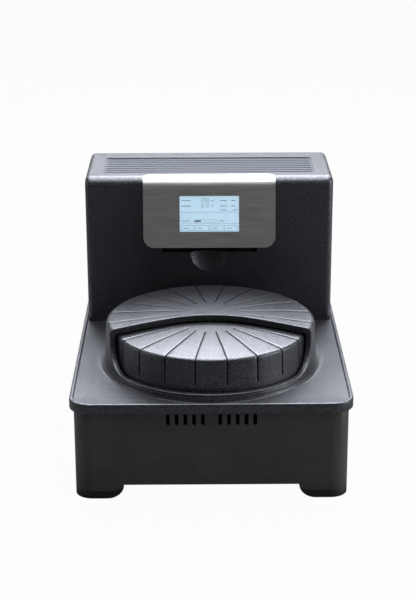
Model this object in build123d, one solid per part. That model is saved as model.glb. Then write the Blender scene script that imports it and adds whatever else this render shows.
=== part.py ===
from build123d import *
from math import acos, atan2, cos, pi, radians, sin, sqrt, tan
import os

# A two-station planetary ball mill for the bench. Millimetres, +Z up, front towards -Y.
# The origin is the centre of the footprint, on the surface that the feet stand on.

# ---------------------------------------------------------------- fits
running = 0.05          # radial play of a shaft in its bearing or bush
seat = 0.1              # gap between pieces that are bolted or pushed together
slip = 0.3              # gap between a moving piece and what it passes
overrun = 10.0          # how far a cutter reaches past what it cuts

# ---------------------------------------------------------------- casing
side_margin = 38.0
front_margin = 2.0
rear_margin = 24.3
base_corner = 25.0
base_height = 121.0
base_wall = 4.0
floor_thickness = 3.0
foot_height = 11.5
leg_height = 9.5
foot_length = 70.0
foot_heel = 24.0
leg_heel = 20.0
vent_count = 5
vent_width = 5.3
vent_length = 16.5
vent_pitch = 12.2
vent_drop = 21.0
deck_overhang = 6.0
deck_thickness = 3.5
skirt_drop = 10.0
rim_width = 5.0
rim_height = 1.5
deck_edge_round = 1.2

# ---------------------------------------------------------------- milling chamber and lid
lip_width = 8.5
lip_height = 10.0
flare_reach = 12.0
hood_taper = 3.0
clamp_clearance = 3.1
hood_wall = 3.0
hood_shoulder_round = 8.0
hood_foot_height = 2.0
hood_foot_inset = 0.2
dome_radius = 1350.0
hood_screw_angle = 54.0
mouth_angle = 18.8
mouth_apex_radius = 185.0
mouth_sweep = 48.0
flange_width = 6.0
flange_depth = 9.5
flange_wall_depth = 8.4
lid_gap = 2.4
shutter_play = 2.1
shutter_taper = 2.9
shutter_wall = 3.0
shutter_shoulder_round = 5.0
shutter_edge_angle = 9.0
groove_count = 20
groove_width = 1.8
groove_depth = 1.0
groove_start = 45.5
groove_end_height = 19.5
pivot_radius = 4.0
pivot_head_radius = 6.5
pivot_head = 2.2
hub_radius = 9.0
hub_height = 8.8

# ---------------------------------------------------------------- lid drive
lid_module = 2.0
tooth_root_margin = 2.6
lid_pinion_teeth = 16
lid_pressure_angle = 20.0
lid_backlash = 0.35
lid_ring_height = 7.0
lid_ring_drop = 4.0
lid_ring_play = 5.0
lid_ring_width = 15.5
lid_drive_angle = 60.0
lid_motor_radius = 15.0
lid_motor_rear_radius = 12.0
lid_motor_length = 64.0
lid_gearbox_length = 32.0
lid_shaft_depth = 16.0
lid_motor_shaft = 4.0
lid_bracket_half = 18.0
lid_bracket_sheet = 2.0
lid_bracket_drop = 8.0
shoe_count = 4
shoe_width = 26.0
shoe_height = 9.0
shoe_reach = 8.0
shoe_drop = 2.0
shoe_angle = 15.0

# ---------------------------------------------------------------- main rotor and chamber casting
chamber_play = 4.0
chamber_wall = 3.0
chamber_bearing_gap = 2.0
chamber_floor = 4.0
chamber_rebate = 1.0
post_radius = 7.0
post_inset = 12.0
post_count = 4
post_angle = 45.0
post_thread = 12.0
post_screw_depth = 10.0
bolt_count = 4
main_shaft_radius = 12.5
main_bearing_outer = 23.5
main_bearing_width = 12.0
bearing_inset = 1.0
shaft_clearance = 2.0
shaft_shoulder = 3.0
shaft_overhang = 2.0
bearing_house_outer = 32.0
bearing_house_height = 28.0
bearing_house_flange = 46.0
bearing_house_flange_thickness = 5.0
rotor_rim = 4.0
rotor_flange = 4.1
rotor_floor = 14.0
rotor_height = 58.0
rotor_hub_radius = 26.0
rotor_edge_round = 2.5
rotor_bolt_circle = 19.0
planet_circle = 70.0
pocket_play = 2.0

# ---------------------------------------------------------------- belts and pulleys
main_pulley_radius = 50.0
motor_pulley_radius = 20.0
belt_thickness = 3.0
belt_width = 10.0
pulley_cheek = 3.0
cheek_overhang = 4.0
main_pulley_lift = 4.0
sun_radius = 30.0
planet_pulley_radius = 15.0
planet_belt_width = 6.0
planet_cheek = 1.0
sun_seat_height = 2.0

# ---------------------------------------------------------------- planets and bowls
planet_shaft_radius = 8.5
planet_bearing_outer = 17.5
planet_bearing_width = 10.0
holder_wall = 3.8
bowl_play = 0.4
ear_play = 0.5
hook_thickness = 3.0
ear_bridge = 3.0
holder_floor = 5.0
holder_lift = 2.0
holder_height = 34.0
bowl_radius = 39.8
bowl_wall = 7.0
bowl_floor = 8.0
bowl_height = 56.0
bowl_edge_round = 4.0
bowl_lid_overhang = 1.2
bowl_lid_height = 8.0
bowl_lid_plug = 3.0
bowl_lid_round = 1.5
ball_radius = 5.0
ball_ring_count = 6
clamp_radius = 11.0
clamp_height = 8.0
clamp_arm_width = 12.0
clamp_arm_inset = 0.5
clamp_arm_thickness = 4.0
clamp_seat_depth = 2.0
clamp_round = 2.0
clamp_flutes = 8
clamp_flute_radius = 1.6
clamp_flute_offset = 0.6

# ---------------------------------------------------------------- drive motor
motor_inset = 110.0
motor_radius = 65.0
motor_belt_gap = 4.0
motor_length = 138.0
motor_wall = 9.0
motor_end_thickness = 10.0
motor_fin_count = 28
motor_fin_depth = 5.0
motor_fin_width = 3.0
motor_core_radius = 40.0
motor_core_margin = 12.0
motor_shaft_radius = 10.0
motor_shaft_play = 1.0
motor_shaft_inset = 0.5
motor_bearing_outer = 23.5
motor_bearing_width = 8.0
motor_plate_margin = 10.0
motor_plate_thickness = 4.0
motor_plate_corner = 10.0
motor_plate_clearance = 4.0
motor_post_inset = 13.0

# ---------------------------------------------------------------- tower
tower_inset = 1.0
tower_depth = 181.7
tower_height = 235.0
tower_wall = 3.0
tower_front_round = 14.0
tower_rear_round = 25.0
tower_side_round = 9.0
tower_foot_width = 16.0
tower_foot_height = 6.0
tower_screw_inset = 25.0
deck_window_side = 55.0
deck_window_margin = 8.0
deck_window_front = 1.0
grille_end_margin = 28.0
grille_rear_margin = 54.0
grille_length = 102.0
grille_corner = 6.0
grille_frame = 3.0
grille_tab = 5.0
grille_depth = 7.0
grille_sink = 1.2
slat_count = 8
slat_gap = 3.4
slat_thickness = 2.0
slat_sink = 0.2
slat_bar_width = 4.0
slat_bar_lap = 0.1
rear_opening_margin = 21.0
rear_opening_low = 12.0
rear_opening_top_margin = 39.0
rear_panel_lap = 8.0
rear_panel_thickness = 2.0
rear_screw_length = 8.0
rear_cut_depth = 15.0

# ---------------------------------------------------------------- control panel
panel_half = 102.5
panel_sheet = 2.0
panel_length = 107.8
panel_stand_off = 26.3
panel_lean = 11.0
panel_bend = 20.0
panel_flat = 0.6
panel_bottom_corner = 17.0
panel_top_corner = 12.0
pocket_half = 75.0
pocket_drop = 16.0
pocket_height = 106.0
pocket_depth = 12.0
pocket_liner = 1.5
tray_lip = 5.0
scoop_radius = 29.0
scoop_drop = 18.0
scoop_depth = 9.0
scoop_inset = 0.5
screen_half = 46.0
screen_height = 55.5
screen_rise = 25.0
screen_thickness = 1.2
module_thickness = 5.0
module_lip = 1.0
module_side_margin = 4.0
module_end_margin = 3.0
housing_half = 68.0
housing_wall = 2.0
housing_margin = 6.0
housing_drop = 3.0
housing_back_gap = 4.0
board_thickness = 1.6
board_side_margin = 10.0
board_low_margin = 8.0
board_high_margin = 2.0
chip_side = 20.0
chip_height = 2.0
chip_rise = 12.0
plug_size = (24.0, 8.0, 6.0)
plug_x = 20.0
hinge_rod_radius = 1.1
hinge_length = 190.0

# ---------------------------------------------------------------- cooling fan
fan_inset = 95.0
fan_half = 60.0
fan_depth = 25.0
fan_bore = 57.0
fan_corner = 6.0
fan_seat_thickness = 3.0
fan_strut_count = 3
fan_strut_width = 5.0
fan_pin_radius = 3.0
fan_hub = 20.0
fan_blade_count = 7
fan_blade_thickness = 2.0
fan_blade_pitch = 35.0
fan_blade_height = 19.0
fan_blade_root = 2.0
fan_tip_gap = 1.5
fan_plate_margin = 10.0
fan_plate_thickness = 2.0
fan_plate_corner = 5.0
fan_screw_bite = 1.0
fan_screw_hole = 1.5
fan_spacer_height = 11.0
fan_spacer_radius = 4.0
fan_spacer_inset_x = 8.0
fan_spacer_inset_y = 4.0

# ---------------------------------------------------------------- electronics
shelf_side_margin = 43.0
shelf_front_margin = 13.7
shelf_rear_margin = 30.0
shelf_clearance = 11.5
shelf_edge = 13.0
shelf_sheet = 2.0
supply_size = (98.0, 96.0, 44.0)
supply_hole_radius = 2.2
supply_hole_depth = 3.0
supply_hole_pitch = 11.0
supply_hole_columns = 7
supply_hole_rows = 4
drive_size = (110.0, 110.0, 62.0)
drive_corner = 4.0
heatsink_margin = 5.0
heatsink_fins = 12
heatsink_fin_thickness = 2.0
heatsink_fin_height = 18.0
heatsink_base = 4.0

# ---------------------------------------------------------------- rear connections
louvre_length = 60.0
louvre_width = 4.0
louvre_rows = 8
louvre_columns = 3
louvre_row_pitch = 9.0
louvre_column_pitch = 90.0
louvre_drop = 30.0
inlet_spacing = 35.0
inlet_height = 40.0
inlet_half_width = 14.0
inlet_half_height = 11.5
inlet_depth = 22.0
socket_half_width = 12.2
socket_half_height = 8.2
socket_depth = 15.0
socket_pin_length = 12.0
socket_pin_lap = 0.5
socket_pin_thickness = 2.0
socket_pin_height = 4.0
socket_pin_places = ((-7.0, 1.0), (7.0, 1.0), (0.0, 5.0))
inlet_rim = 2.0
switch_spacing = 45.0
switch_half_width = 10.0
switch_half_height = 14.0
switch_depth = 16.0
switch_rim = 1.5
switch_floor = 2.0
rocker_pin_radius = 1.2
rocker_axis_depth = 5.0
rocker_end_gap = 1.2
rocker_proud = 2.6
rocker_back = 4.0
rocker_back_half = 5.0
rocker_tilt = 12.0
fuse_margin = 17.0
fuse_half_width = 7.0
fuse_half_height = 10.0
fuse_depth = 26.0
fuse_wall = 1.5
fuse_sleeve_floor = 2.0
fuse_front_proud = 1.0
fuse_trough_wall = 3.0
fuse_trough_low = 1.0
fuse_trough_high = 6.0
fuse_grip_half = 4.0
fuse_grip_low = 3.0
fuse_grip_high = 6.0
fuse_grip_depth = 1.5

# ---------------------------------------------------------------- screws
screw_radius = 2.0
screw_head_radius = 3.5
screw_head_height = 2.4

# ---------------------------------------------------------------- radii that follow, from the bowl outwards
holder_radius = bowl_radius + bowl_play + holder_wall
bowl_lid_radius = bowl_radius + bowl_lid_overhang
clamp_arm_reach = holder_radius - clamp_arm_inset
pocket_radius = holder_radius + pocket_play
rotor_radius = planet_circle + pocket_radius + rotor_rim
chamber_inner = rotor_radius + chamber_play
chamber_outer = chamber_inner + chamber_wall
post_circle = chamber_inner - post_inset
lid_ring_inner = chamber_outer + lid_ring_play
lip_inner_radius = lid_ring_inner + lid_ring_width
lip_radius = lip_inner_radius + lip_width
hood_shoulder = lip_radius - hood_taper
shutter_foot_radius = lip_inner_radius - shutter_play
shutter_shoulder = shutter_foot_radius - shutter_taper
lid_ring_teeth = round(2 * (shutter_foot_radius + tooth_root_margin) / lid_module)

# ---------------------------------------------------------------- places that follow, in plan
base_width = 2 * (lip_radius + side_margin)
base_depth = 2 * lip_radius + front_margin + rear_margin + tower_depth
mill_y = front_margin + lip_radius - base_depth / 2
tower_width = base_width - 2 * tower_inset
tower_rear = base_depth / 2
tower_front = tower_rear - tower_depth
motor_y = tower_rear - motor_inset
motor_plate_half = motor_radius + motor_plate_margin
motor_post_spread = motor_plate_half - motor_post_inset
deck_window_half = motor_radius + deck_window_side
grille_half = tower_width / 2 - grille_end_margin
grille_rear = tower_rear - grille_rear_margin
grille_front = grille_rear - grille_length
rear_opening_half = tower_width / 2 - rear_opening_margin
panel_bottom_y = tower_front - panel_stand_off
fan_y = tower_rear - fan_inset
fan_plate_half = fan_half + fan_plate_margin
fan_spacer_spread_x = fan_plate_half - fan_spacer_inset_x
fan_spacer_spread_y = fan_plate_half - fan_spacer_inset_y
shelf_half = tower_width / 2 - shelf_side_margin
shelf_front = tower_front + shelf_front_margin
shelf_rear = tower_rear - shelf_rear_margin
supply_x = shelf_half - shelf_edge - supply_size[0] / 2
drive_x = shelf_edge - shelf_half + drive_size[0] / 2
rear_face = tower_rear
fuse_x = rear_opening_half - fuse_margin
inlet_x = fuse_x - inlet_spacing
switch_x = inlet_x - switch_spacing

# ---------------------------------------------------------------- heights that follow, from the bench upwards
base_low = foot_height + leg_height
floor_top = base_low + floor_thickness
deck_low = base_low + base_height
deck_top = deck_low + deck_thickness
lip_top = deck_top + lip_height
lid_ring_top = deck_low - lid_ring_drop
lid_ring_low = lid_ring_top - lid_ring_height
main_pulley_low = floor_top + main_pulley_lift
main_pulley_high = main_pulley_low + belt_width + 2 * pulley_cheek
chamber_floor_low = main_pulley_high + chamber_bearing_gap + bearing_house_height
chamber_floor_top = chamber_floor_low + chamber_floor
chamber_top = lid_ring_low - chamber_rebate
sun_low = chamber_floor_top + sun_seat_height
sun_height = 2 * planet_belt_width + 3 * planet_cheek + 2 * slip
rotor_low = sun_low + sun_height + slip + rotor_flange
rotor_floor_top = rotor_low + rotor_floor
rotor_top = rotor_low + rotor_height
holder_low = rotor_floor_top + holder_lift
bowl_low = holder_low + holder_floor + seat
bowl_top = bowl_low + bowl_height
clamp_low = bowl_top + bowl_lid_height + slip
clamp_top = clamp_low + clamp_arm_thickness + clamp_height
pivot_head_top = clamp_top + clamp_clearance + pivot_head
shutter_apex = pivot_head_top + slip + hub_height
hood_apex = shutter_apex + lid_gap + flange_depth
motor_low = main_pulley_high + motor_belt_gap + motor_plate_thickness
motor_high = motor_low + motor_length
shelf_top = motor_high + shelf_clearance + shelf_sheet
tower_top = deck_top + tower_height
rear_opening_high = tower_height - rear_opening_top_margin
panel_top = tower_top + slip + panel_sheet
pocket_low = panel_top - panel_length - pocket_drop
pocket_high = pocket_low + pocket_height
scoop_place = panel_top - panel_length - scoop_drop


# ================================================================ small helpers
def rod(radius, low, high, x=0.0, y=0.0):
    """An upright cylinder from one height to another."""
    return Pos(x, y, low) * Cylinder(radius, high - low, align=(Align.CENTER, Align.CENTER, Align.MIN))


def tube(outer, inner, low, high, x=0.0, y=0.0):
    """An upright pipe."""
    return rod(outer, low, high, x, y) - rod(inner, low - 1, high + 1, x, y)


def block(x_low, x_high, y_low, y_high, z_low, z_high):
    """A box between two corners."""
    size = (x_high - x_low, y_high - y_low, z_high - z_low)
    return Pos(x_low, y_low, z_low) * Box(*size, align=(Align.MIN, Align.MIN, Align.MIN))


def slab(width, depth, corner, low, high, x=0.0, y=0.0):
    """An upright prism with a rounded rectangular outline."""
    outline = Pos(x, y, low) * RectangleRounded(width, depth, corner)
    return extrude(outline, high - low)


def spin(points, y=0.0):
    """A solid of revolution about the upright axis, from (radius, height) corners."""
    face = make_face(Polyline(*[(r, 0, z) for r, z in points], close=True))
    return Pos(0, y, 0) * revolve(face, Axis.Z, 360)


def side_prism(points, half_width):
    """A prism along X from (y, z) corners, as wide on both sides of the middle."""
    face = make_face(Polyline(*[(-half_width, y, z) for y, z in points], close=True))
    return extrude(face, 2 * half_width, dir=(1, 0, 0))


def around(count, radius, start=0.0):
    """Places on a circle: (x, y, angle in degrees) for each."""
    angles = [start + 360.0 * i / count for i in range(count)]
    return [(radius * cos(radians(a)), radius * sin(radians(a)), a) for a in angles]


def dome_height(apex, radius):
    """Height of the shallow dome at a distance from its axis."""
    return apex - dome_radius + sqrt(dome_radius ** 2 - radius ** 2)


def screw(x, y, head_low, length, up=True):
    """A cap screw: its head's flat side lies at head_low and its shank runs away from the head."""
    if up:
        return rod(screw_head_radius, head_low - screw_head_height, head_low, x, y) + rod(
            screw_radius, head_low, head_low + length, x, y)
    return rod(screw_head_radius, head_low, head_low + screw_head_height, x, y) + rod(
        screw_radius, head_low - length, head_low, x, y)


def screw_hole(x, y, low, high):
    """A hole that clears a screw's shank."""
    return rod(screw_radius + seat, low, high, x, y)


def belt_loop(radius_a, center_a, radius_b, center_b, low, width, thickness):
    """An open belt round two pulleys whose centres lie on one line along Y or X."""
    outer = belt_outline(radius_a + thickness, center_a, radius_b + thickness, center_b)
    inner = belt_outline(radius_a, center_a, radius_b, center_b)
    return Pos(0, 0, low) * extrude(outer - inner, width)


def belt_outline(radius_a, center_a, radius_b, center_b):
    """The convex outline round two circles: both discs and the quadrilateral of their tangents."""
    ax, ay = center_a
    bx, by = center_b
    span = sqrt((bx - ax) ** 2 + (by - ay) ** 2)
    heading = atan2(by - ay, bx - ax)
    side = acos((radius_a - radius_b) / span)
    corners = []
    for turn in (side, -side):
        a = heading + turn
        corners.append((ax + radius_a * cos(a), ay + radius_a * sin(a)))
        corners.append((bx + radius_b * cos(a), by + radius_b * sin(a)))
    web = make_face(Polyline(corners[0], corners[1], corners[3], corners[2], close=True))
    return web + Pos(ax, ay) * Circle(radius_a) + Pos(bx, by) * Circle(radius_b)


def pulley(radius, low, width, cheek, bore, x=0.0, y=0.0, overhang=cheek_overhang):
    """A flat belt pulley with a cheek above and below the belt."""
    high = low + width + 2 * cheek
    body = rod(radius, low, high, x, y)
    body += rod(radius + overhang, low, low + cheek, x, y)
    body += rod(radius + overhang, high - cheek, high, x, y)
    return body - rod(bore, low - 1, high + 1, x, y)


def ball_bearing(outer, bore, low, width, x=0.0, y=0.0):
    """A sealed ball bearing as one ring, with a groove on each face between its races."""
    middle = (outer + bore) / 2
    groove = (outer - bore) / 6
    body = tube(outer, bore, low, low + width, x, y)
    for start in (low - 1, low + width - groove_depth / 2):
        body -= tube(middle + groove, middle - groove, start, start + 1 + groove_depth / 2, x, y)
    return body


def gear_outline(teeth, clearance_angle):
    """An involute gear's outline with 20 degree flanks, first tooth centred on +X."""
    pitch = lid_module * teeth / 2
    base = pitch * cos(radians(lid_pressure_angle))
    root = pitch - 1.25 * lid_module
    tip = pitch + lid_module
    half = pi / (2 * teeth) - lid_backlash / (2 * pitch)

    def half_width(radius):
        slope = acos(min(1.0, base / max(radius, base)))
        at_pitch = radians(lid_pressure_angle)
        return half + (tan(at_pitch) - at_pitch) - (tan(slope) - slope)

    radii = [root, max(base, pitch - lid_module / 2), pitch, pitch + lid_module / 2, tip]
    points = []
    for i in range(teeth):
        center = 2 * pi * i / teeth + clearance_angle
        for radius in radii:
            angle = center - half_width(radius)
            points.append((radius * cos(angle), radius * sin(angle)))
        for radius in reversed(radii):
            angle = center + half_width(radius)
            points.append((radius * cos(angle), radius * sin(angle)))
    return make_face(Polyline(*points, close=True))


# ================================================================ feet, base and deck
def corner_heel(low, high, length, heel, half_size, axis):
    """The side profile of two feet, whose inner ends sweep up in a quarter ellipse, as a prism."""
    inner = half_size - length
    rise = high - low
    steps = 8
    sweep = [(inner + heel * (1 - cos(pi * i / 2 / steps)), high - rise * sin(pi * i / 2 / steps))
             for i in range(steps + 1)]
    points = sweep + [(half_size, low), (half_size, high)]
    reach = base_depth
    both = Part()
    for sign in (1, -1):
        if axis == "x":
            corners = [(sign * a, -reach, z) for a, z in points]
            direction = (0, 1, 0)
        else:
            corners = [(-reach, sign * a, z) for a, z in points]
            direction = (1, 0, 0)
        both += extrude(make_face(Polyline(*corners, close=True)), 2 * reach, dir=direction)
    return both


def corner_pads(low, high, heel):
    """Four corner pads under the base, one solid each."""
    outline = slab(base_width, base_depth, base_corner, low, high)
    along_x = corner_heel(low, high, foot_length, heel, base_width / 2, "x")
    along_y = corner_heel(low, high, foot_length, heel, base_depth / 2, "y")
    return outline & along_x & along_y


def foot_screw_places():
    inset_x = base_width / 2 - foot_length / 2
    inset_y = base_depth / 2 - foot_length / 2
    return [(sx * inset_x, sy * inset_y) for sx in (1, -1) for sy in (1, -1)]


def make_legs():
    """The cast legs below the base box, whose heels the rubber feet follow."""
    return corner_pads(foot_height, base_low, leg_heel)


def make_feet():
    """Rubber feet that wrap the legs from below, each with a screw well."""
    feet = corner_pads(0, base_low, foot_heel) - corner_pads(foot_height - seat, base_low, leg_heel)
    feet -= slab(base_width + overrun, base_depth + overrun, base_corner, base_low - 1, base_low + 1)
    for x, y in foot_screw_places():
        feet -= rod(screw_head_radius + seat, -1, foot_height / 2, x, y)
        feet -= screw_hole(x, y, 0, base_low)
    return feet


def make_foot_screws():
    return [screw(x, y, foot_height / 2, foot_height + leg_height / 2) for x, y in foot_screw_places()]


def vent_places():
    """The slots stand in two rows beside a blank middle."""
    return [side * vent_pitch * i for side in (-1, 1) for i in range(1, vent_count + 1)]


def make_base_casing():
    """The painted base: four walls on four legs, with air slots in the front wall."""
    wall = slab(base_width, base_depth, base_corner, base_low, deck_low)
    inner = slab(base_width - 2 * base_wall, base_depth - 2 * base_wall, base_corner - base_wall,
                 base_low - 1, deck_low + 1)
    casing = wall - inner + make_legs()
    for x, y in foot_screw_places():
        casing -= screw_hole(x, y, 0, base_low + 1)
    middle = deck_low - vent_drop
    slot = extrude(SlotOverall(vent_length, vent_width), base_wall * 2, both=True)
    for x in vent_places():
        casing -= Pos(x, -base_depth / 2, middle) * Rot(90, 0, 0) * Rot(0, 0, 90) * slot
    return casing


def make_base_plate():
    """The steel floor that carries the chamber posts and the motor; it lies on the legs."""
    gap = base_wall + seat
    plate = slab(base_width - 2 * gap, base_depth - 2 * gap, base_corner - gap, base_low, floor_top)
    for x, y in foot_screw_places():
        plate -= screw_hole(x, y, base_low - 1, floor_top + 1)
    return plate


def deck_window():
    """The opening under the tower, for the motor and the wiring."""
    y_low = tower_front + tower_wall + deck_window_front
    y_high = tower_rear - tower_wall - deck_window_margin
    return block(-deck_window_half, deck_window_half, y_low, y_high, deck_low - 1, deck_top + 1)


def make_deck():
    """The painted top: plate, raised rim, hanging skirt and the flared collar of the chamber."""
    width = base_width + 2 * deck_overhang
    depth = base_depth + 2 * deck_overhang
    corner = base_corner + deck_overhang
    body = slab(width, depth, corner, deck_low - skirt_drop, deck_top + rim_height)
    body = fillet(body.edges().group_by(Axis.Z)[-1], deck_edge_round)
    inner_w = width - 2 * rim_width
    inner_d = depth - 2 * rim_width
    body -= slab(inner_w, inner_d, corner - rim_width, deck_top, deck_top + rim_height + 1)
    body -= slab(base_width + 2 * seat, base_depth + 2 * seat, base_corner + seat,
                 deck_low - skirt_drop - 1, deck_low)
    footing = tower_width / 2 + seat
    body -= block(-footing, footing, tower_front - seat, tower_rear + seat, deck_top, deck_top + rim_height + 1)
    body += make_collar() & slab(inner_w, inner_d, corner - rim_width, deck_low, lip_top)
    body -= rod(lip_inner_radius, deck_low - 1, lip_top + 1, 0, mill_y)
    body -= deck_window()
    for x, y in tower_screw_places():
        body -= screw_hole(x, y, deck_low - 1, deck_top + 1)
    for x, y in hood_screw_places():
        body -= screw_hole(x, y, deck_low - 1, lip_top + 1)
    return body


def make_collar():
    """The chamber's collar, whose foot sweeps out into the deck as a hollow quarter ellipse."""
    steps = 8
    sweep = []
    for i in range(steps + 1):
        turn = pi / 2 * i / steps
        sweep.append((lip_radius + flare_reach * (1 - cos(turn)), lip_top - lip_height * sin(turn)))
    return spin([(lip_inner_radius - 1, deck_low)] + [(lip_inner_radius - 1, lip_top)] + sweep
                + [(lip_radius + flare_reach, deck_low)], mill_y)


# ================================================================ hood
def mouth_prism(margin):
    """The lid mouth as a cutter, grown by a margin: a blunt wedge whose lower corners sweep forward."""
    slope = radians(mouth_angle)
    radius = mouth_apex_radius + margin
    reach = hood_shoulder + lip_radius
    tangent_x = radius * sin(slope)
    center_y = -mouth_apex_radius / cos(slope)
    tangent_y = center_y + radius * cos(slope)
    end_y = tangent_y - (reach - tangent_x) * tan(slope)
    low = lip_top + hood_foot_height - margin
    high = hood_apex + 1
    outline = (
        Line((-reach, -reach, low), (-reach, end_y, low)),
        Line((-reach, end_y, low), (-tangent_x, tangent_y, low)),
        ThreePointArc((-tangent_x, tangent_y, low), (0, center_y + radius, low), (tangent_x, tangent_y, low)),
        Line((tangent_x, tangent_y, low), (reach, end_y, low)),
        Line((reach, end_y, low), (reach, -reach, low)),
        Line((reach, -reach, low), (-reach, -reach, low)),
    )
    prism = extrude(make_face(Wire(outline)), high - low, dir=(0, 0, 1))
    back = [e for e in prism.edges().group_by(Axis.Z)[0] if e.center().Y > end_y + 1]
    prism = fillet(back, mouth_sweep - margin)
    return Pos(0, mill_y, 0) * prism


def dome_shell(apex, shoulder, foot_radius, foot_height, wall, top_wall, shoulder_round, low):
    """A cap with a shallow dome, a rounded shoulder and a slightly tapered wall, hollow below."""
    outer = dome_solid(apex, shoulder, foot_radius, foot_height, shoulder_round, low)
    inner = dome_solid(apex - top_wall, shoulder - wall, foot_radius - wall, foot_height,
                       max(shoulder_round - wall, 1.0), low - 1)
    return outer - inner


def dome_solid(apex, shoulder, foot_radius, foot_level, shoulder_round, low):
    """The solid form of such a cap, from its profile of an arc and straight lines."""
    edge = dome_height(apex, shoulder)
    half = dome_height(apex, shoulder / 2)
    taper = (foot_radius - shoulder) / (edge - foot_level)
    low_radius = foot_radius + taper * (foot_level - low)
    outline = (
        Line((0, 0, low), (low_radius, 0, low)),
        Line((low_radius, 0, low), (shoulder, 0, edge)),
        ThreePointArc((shoulder, 0, edge), (shoulder / 2, 0, half), (0, 0, apex)),
        Line((0, 0, apex), (0, 0, low)),
    )
    cap = revolve(make_face(Wire(outline)), Axis.Z, 360)
    rim = [e for e in cap.edges() if abs(e.center().Z - edge) < 0.5 and e.bounding_box().size.X > shoulder]
    cap = fillet(rim, shoulder_round)
    return Pos(0, mill_y, 0) * cap


def radial_groove(angle, apex, shoulder, foot_radius, foot_level, low):
    """A cutter for one groove: out along the dome and down the wall."""
    edge = dome_height(apex, shoulder)
    depth = groove_depth
    taper = (foot_radius - shoulder) / (edge - foot_level)
    low_radius = foot_radius + taper * (foot_level - low)
    start = dome_height(apex, groove_start)
    outside = shoulder + hood_shoulder_round
    face = make_face(Polyline(
        (groove_start, 0, start - depth),
        (shoulder - depth - 2, 0, edge - depth),
        (shoulder - depth, 0, edge - depth - 2),
        (low_radius - depth, 0, low),
        (outside, 0, low),
        (outside, 0, apex + 1),
        (groove_start, 0, apex + 1),
        close=True))
    cutter = extrude(face, groove_width / 2, both=True, dir=(0, 1, 0))
    return Pos(0, mill_y, 0) * Rot(0, 0, angle) * cutter


def groove_angles():
    """Angles of the grooves, evenly spread, with none on the middle line."""
    step = 360.0 / groove_count
    return [step / 2 + step * i + 90 for i in range(groove_count)]


def is_front(angle):
    return sin(radians(angle)) < -sin(radians(mouth_angle + 1))


def hood_screw_places():
    """Screws from under the deck into the hood's foot, clear of the mouth."""
    radius = (lip_inner_radius + lip_radius) / 2
    angles = [side * turn for side in (-1, 1) for turn in (hood_screw_angle / 2, 1.5 * hood_screw_angle)]
    return [(radius * sin(radians(a)), mill_y + radius * cos(radians(a))) for a in angles]


def make_hood():
    """The fixed rear half of the lid: a domed cap with a thick flange round its mouth."""
    foot = lip_top
    skin = dome_shell(hood_apex, hood_shoulder, lip_radius, foot, hood_wall, hood_wall, hood_shoulder_round, foot)
    thick = dome_shell(hood_apex, hood_shoulder, lip_radius, foot, flange_wall_depth, flange_depth,
                       hood_shoulder_round, foot)
    hood = skin + (thick & mouth_prism(flange_width))
    hood += tube(lip_radius - hood_foot_inset, lip_inner_radius, foot, foot + hood_foot_height, 0, mill_y)
    hood -= mouth_prism(0)
    boss_low = hood_apex - flange_depth
    hood += rod(hub_radius, boss_low, hood_apex - hood_wall, 0, mill_y)
    hood -= rod(pivot_radius + seat, boss_low - 1, hood_apex - hood_wall, 0, mill_y)
    for x, y in hood_screw_places():
        hood += rod(screw_head_radius, foot, foot + 2 * screw_head_height, x, y) & skin_zone(foot)
        hood -= screw_hole(x, y, foot - 1, foot + 1.5 * screw_head_height)
    for angle in groove_angles():
        if not is_front(angle):
            hood -= radial_groove(angle, hood_apex, hood_shoulder, lip_radius, foot, deck_top + groove_end_height)
    return hood


def skin_zone(foot):
    """Everything that lies inside the hood's outer surface."""
    return dome_solid(hood_apex, hood_shoulder, lip_radius, foot, hood_shoulder_round, foot)


def make_hood_screws():
    return [screw(x, y, deck_low, lip_height + deck_thickness + screw_head_height)
            for x, y in hood_screw_places()]


# ================================================================ turning shutter
def make_shutter():
    """The turning front half of the lid: a smaller cap, cut to a sector, on its gear ring."""
    shell = dome_shell(shutter_apex, shutter_shoulder, shutter_foot_radius, lid_ring_top, shutter_wall,
                       shutter_wall, shutter_shoulder_round, lid_ring_top)
    for angle in groove_angles():
        if is_front(angle):
            shell -= radial_groove(angle, shutter_apex, shutter_shoulder, shutter_foot_radius,
                                   lid_ring_top, deck_top + groove_end_height)
    reach = 2 * lip_radius
    rise = reach * tan(radians(shutter_edge_angle))
    corners = [(0, 0), (reach, -rise), (reach, reach), (-reach, reach), (-reach, -rise)]
    rear = Pos(0, mill_y, lid_ring_low) * extrude(make_face(Polyline(*corners, close=True)), reach)
    shell -= rear
    hub_low = shutter_apex - hub_height
    cap = dome_solid(shutter_apex, shutter_shoulder, shutter_foot_radius, lid_ring_top,
                     shutter_shoulder_round, lid_ring_top)
    shell += rod(hub_radius, hub_low, shutter_apex, 0, mill_y) & cap
    return shell - rod(pivot_radius + running, hub_low - 1, shutter_apex + 1, 0, mill_y)


def make_pivot_pin():
    """The headed pin that hangs the shutter's hub under the hood."""
    low = pivot_head_top - pivot_head
    pin = rod(pivot_radius, low, hood_apex - hood_wall - seat, 0, mill_y)
    return pin + rod(pivot_head_radius, low, pivot_head_top, 0, mill_y)


def make_lid_ring():
    """The toothed ring that the shutter stands on; it also turns in the guide shoes."""
    ring = extrude(gear_outline(lid_ring_teeth, ring_phase()), lid_ring_height)
    ring = Pos(0, mill_y, lid_ring_low) * ring
    return ring - rod(lid_ring_inner, lid_ring_low - 1, lid_ring_top + 1, 0, mill_y)


def pinion_place():
    """The pinion's centre, to the rear left of the chamber."""
    distance = lid_module * (lid_ring_teeth + lid_pinion_teeth) / 2
    angle = radians(90 + lid_drive_angle)
    return distance * cos(angle), mill_y + distance * sin(angle)


def ring_phase():
    """A ring tooth points at the pinion."""
    return radians(90 + lid_drive_angle)


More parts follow.
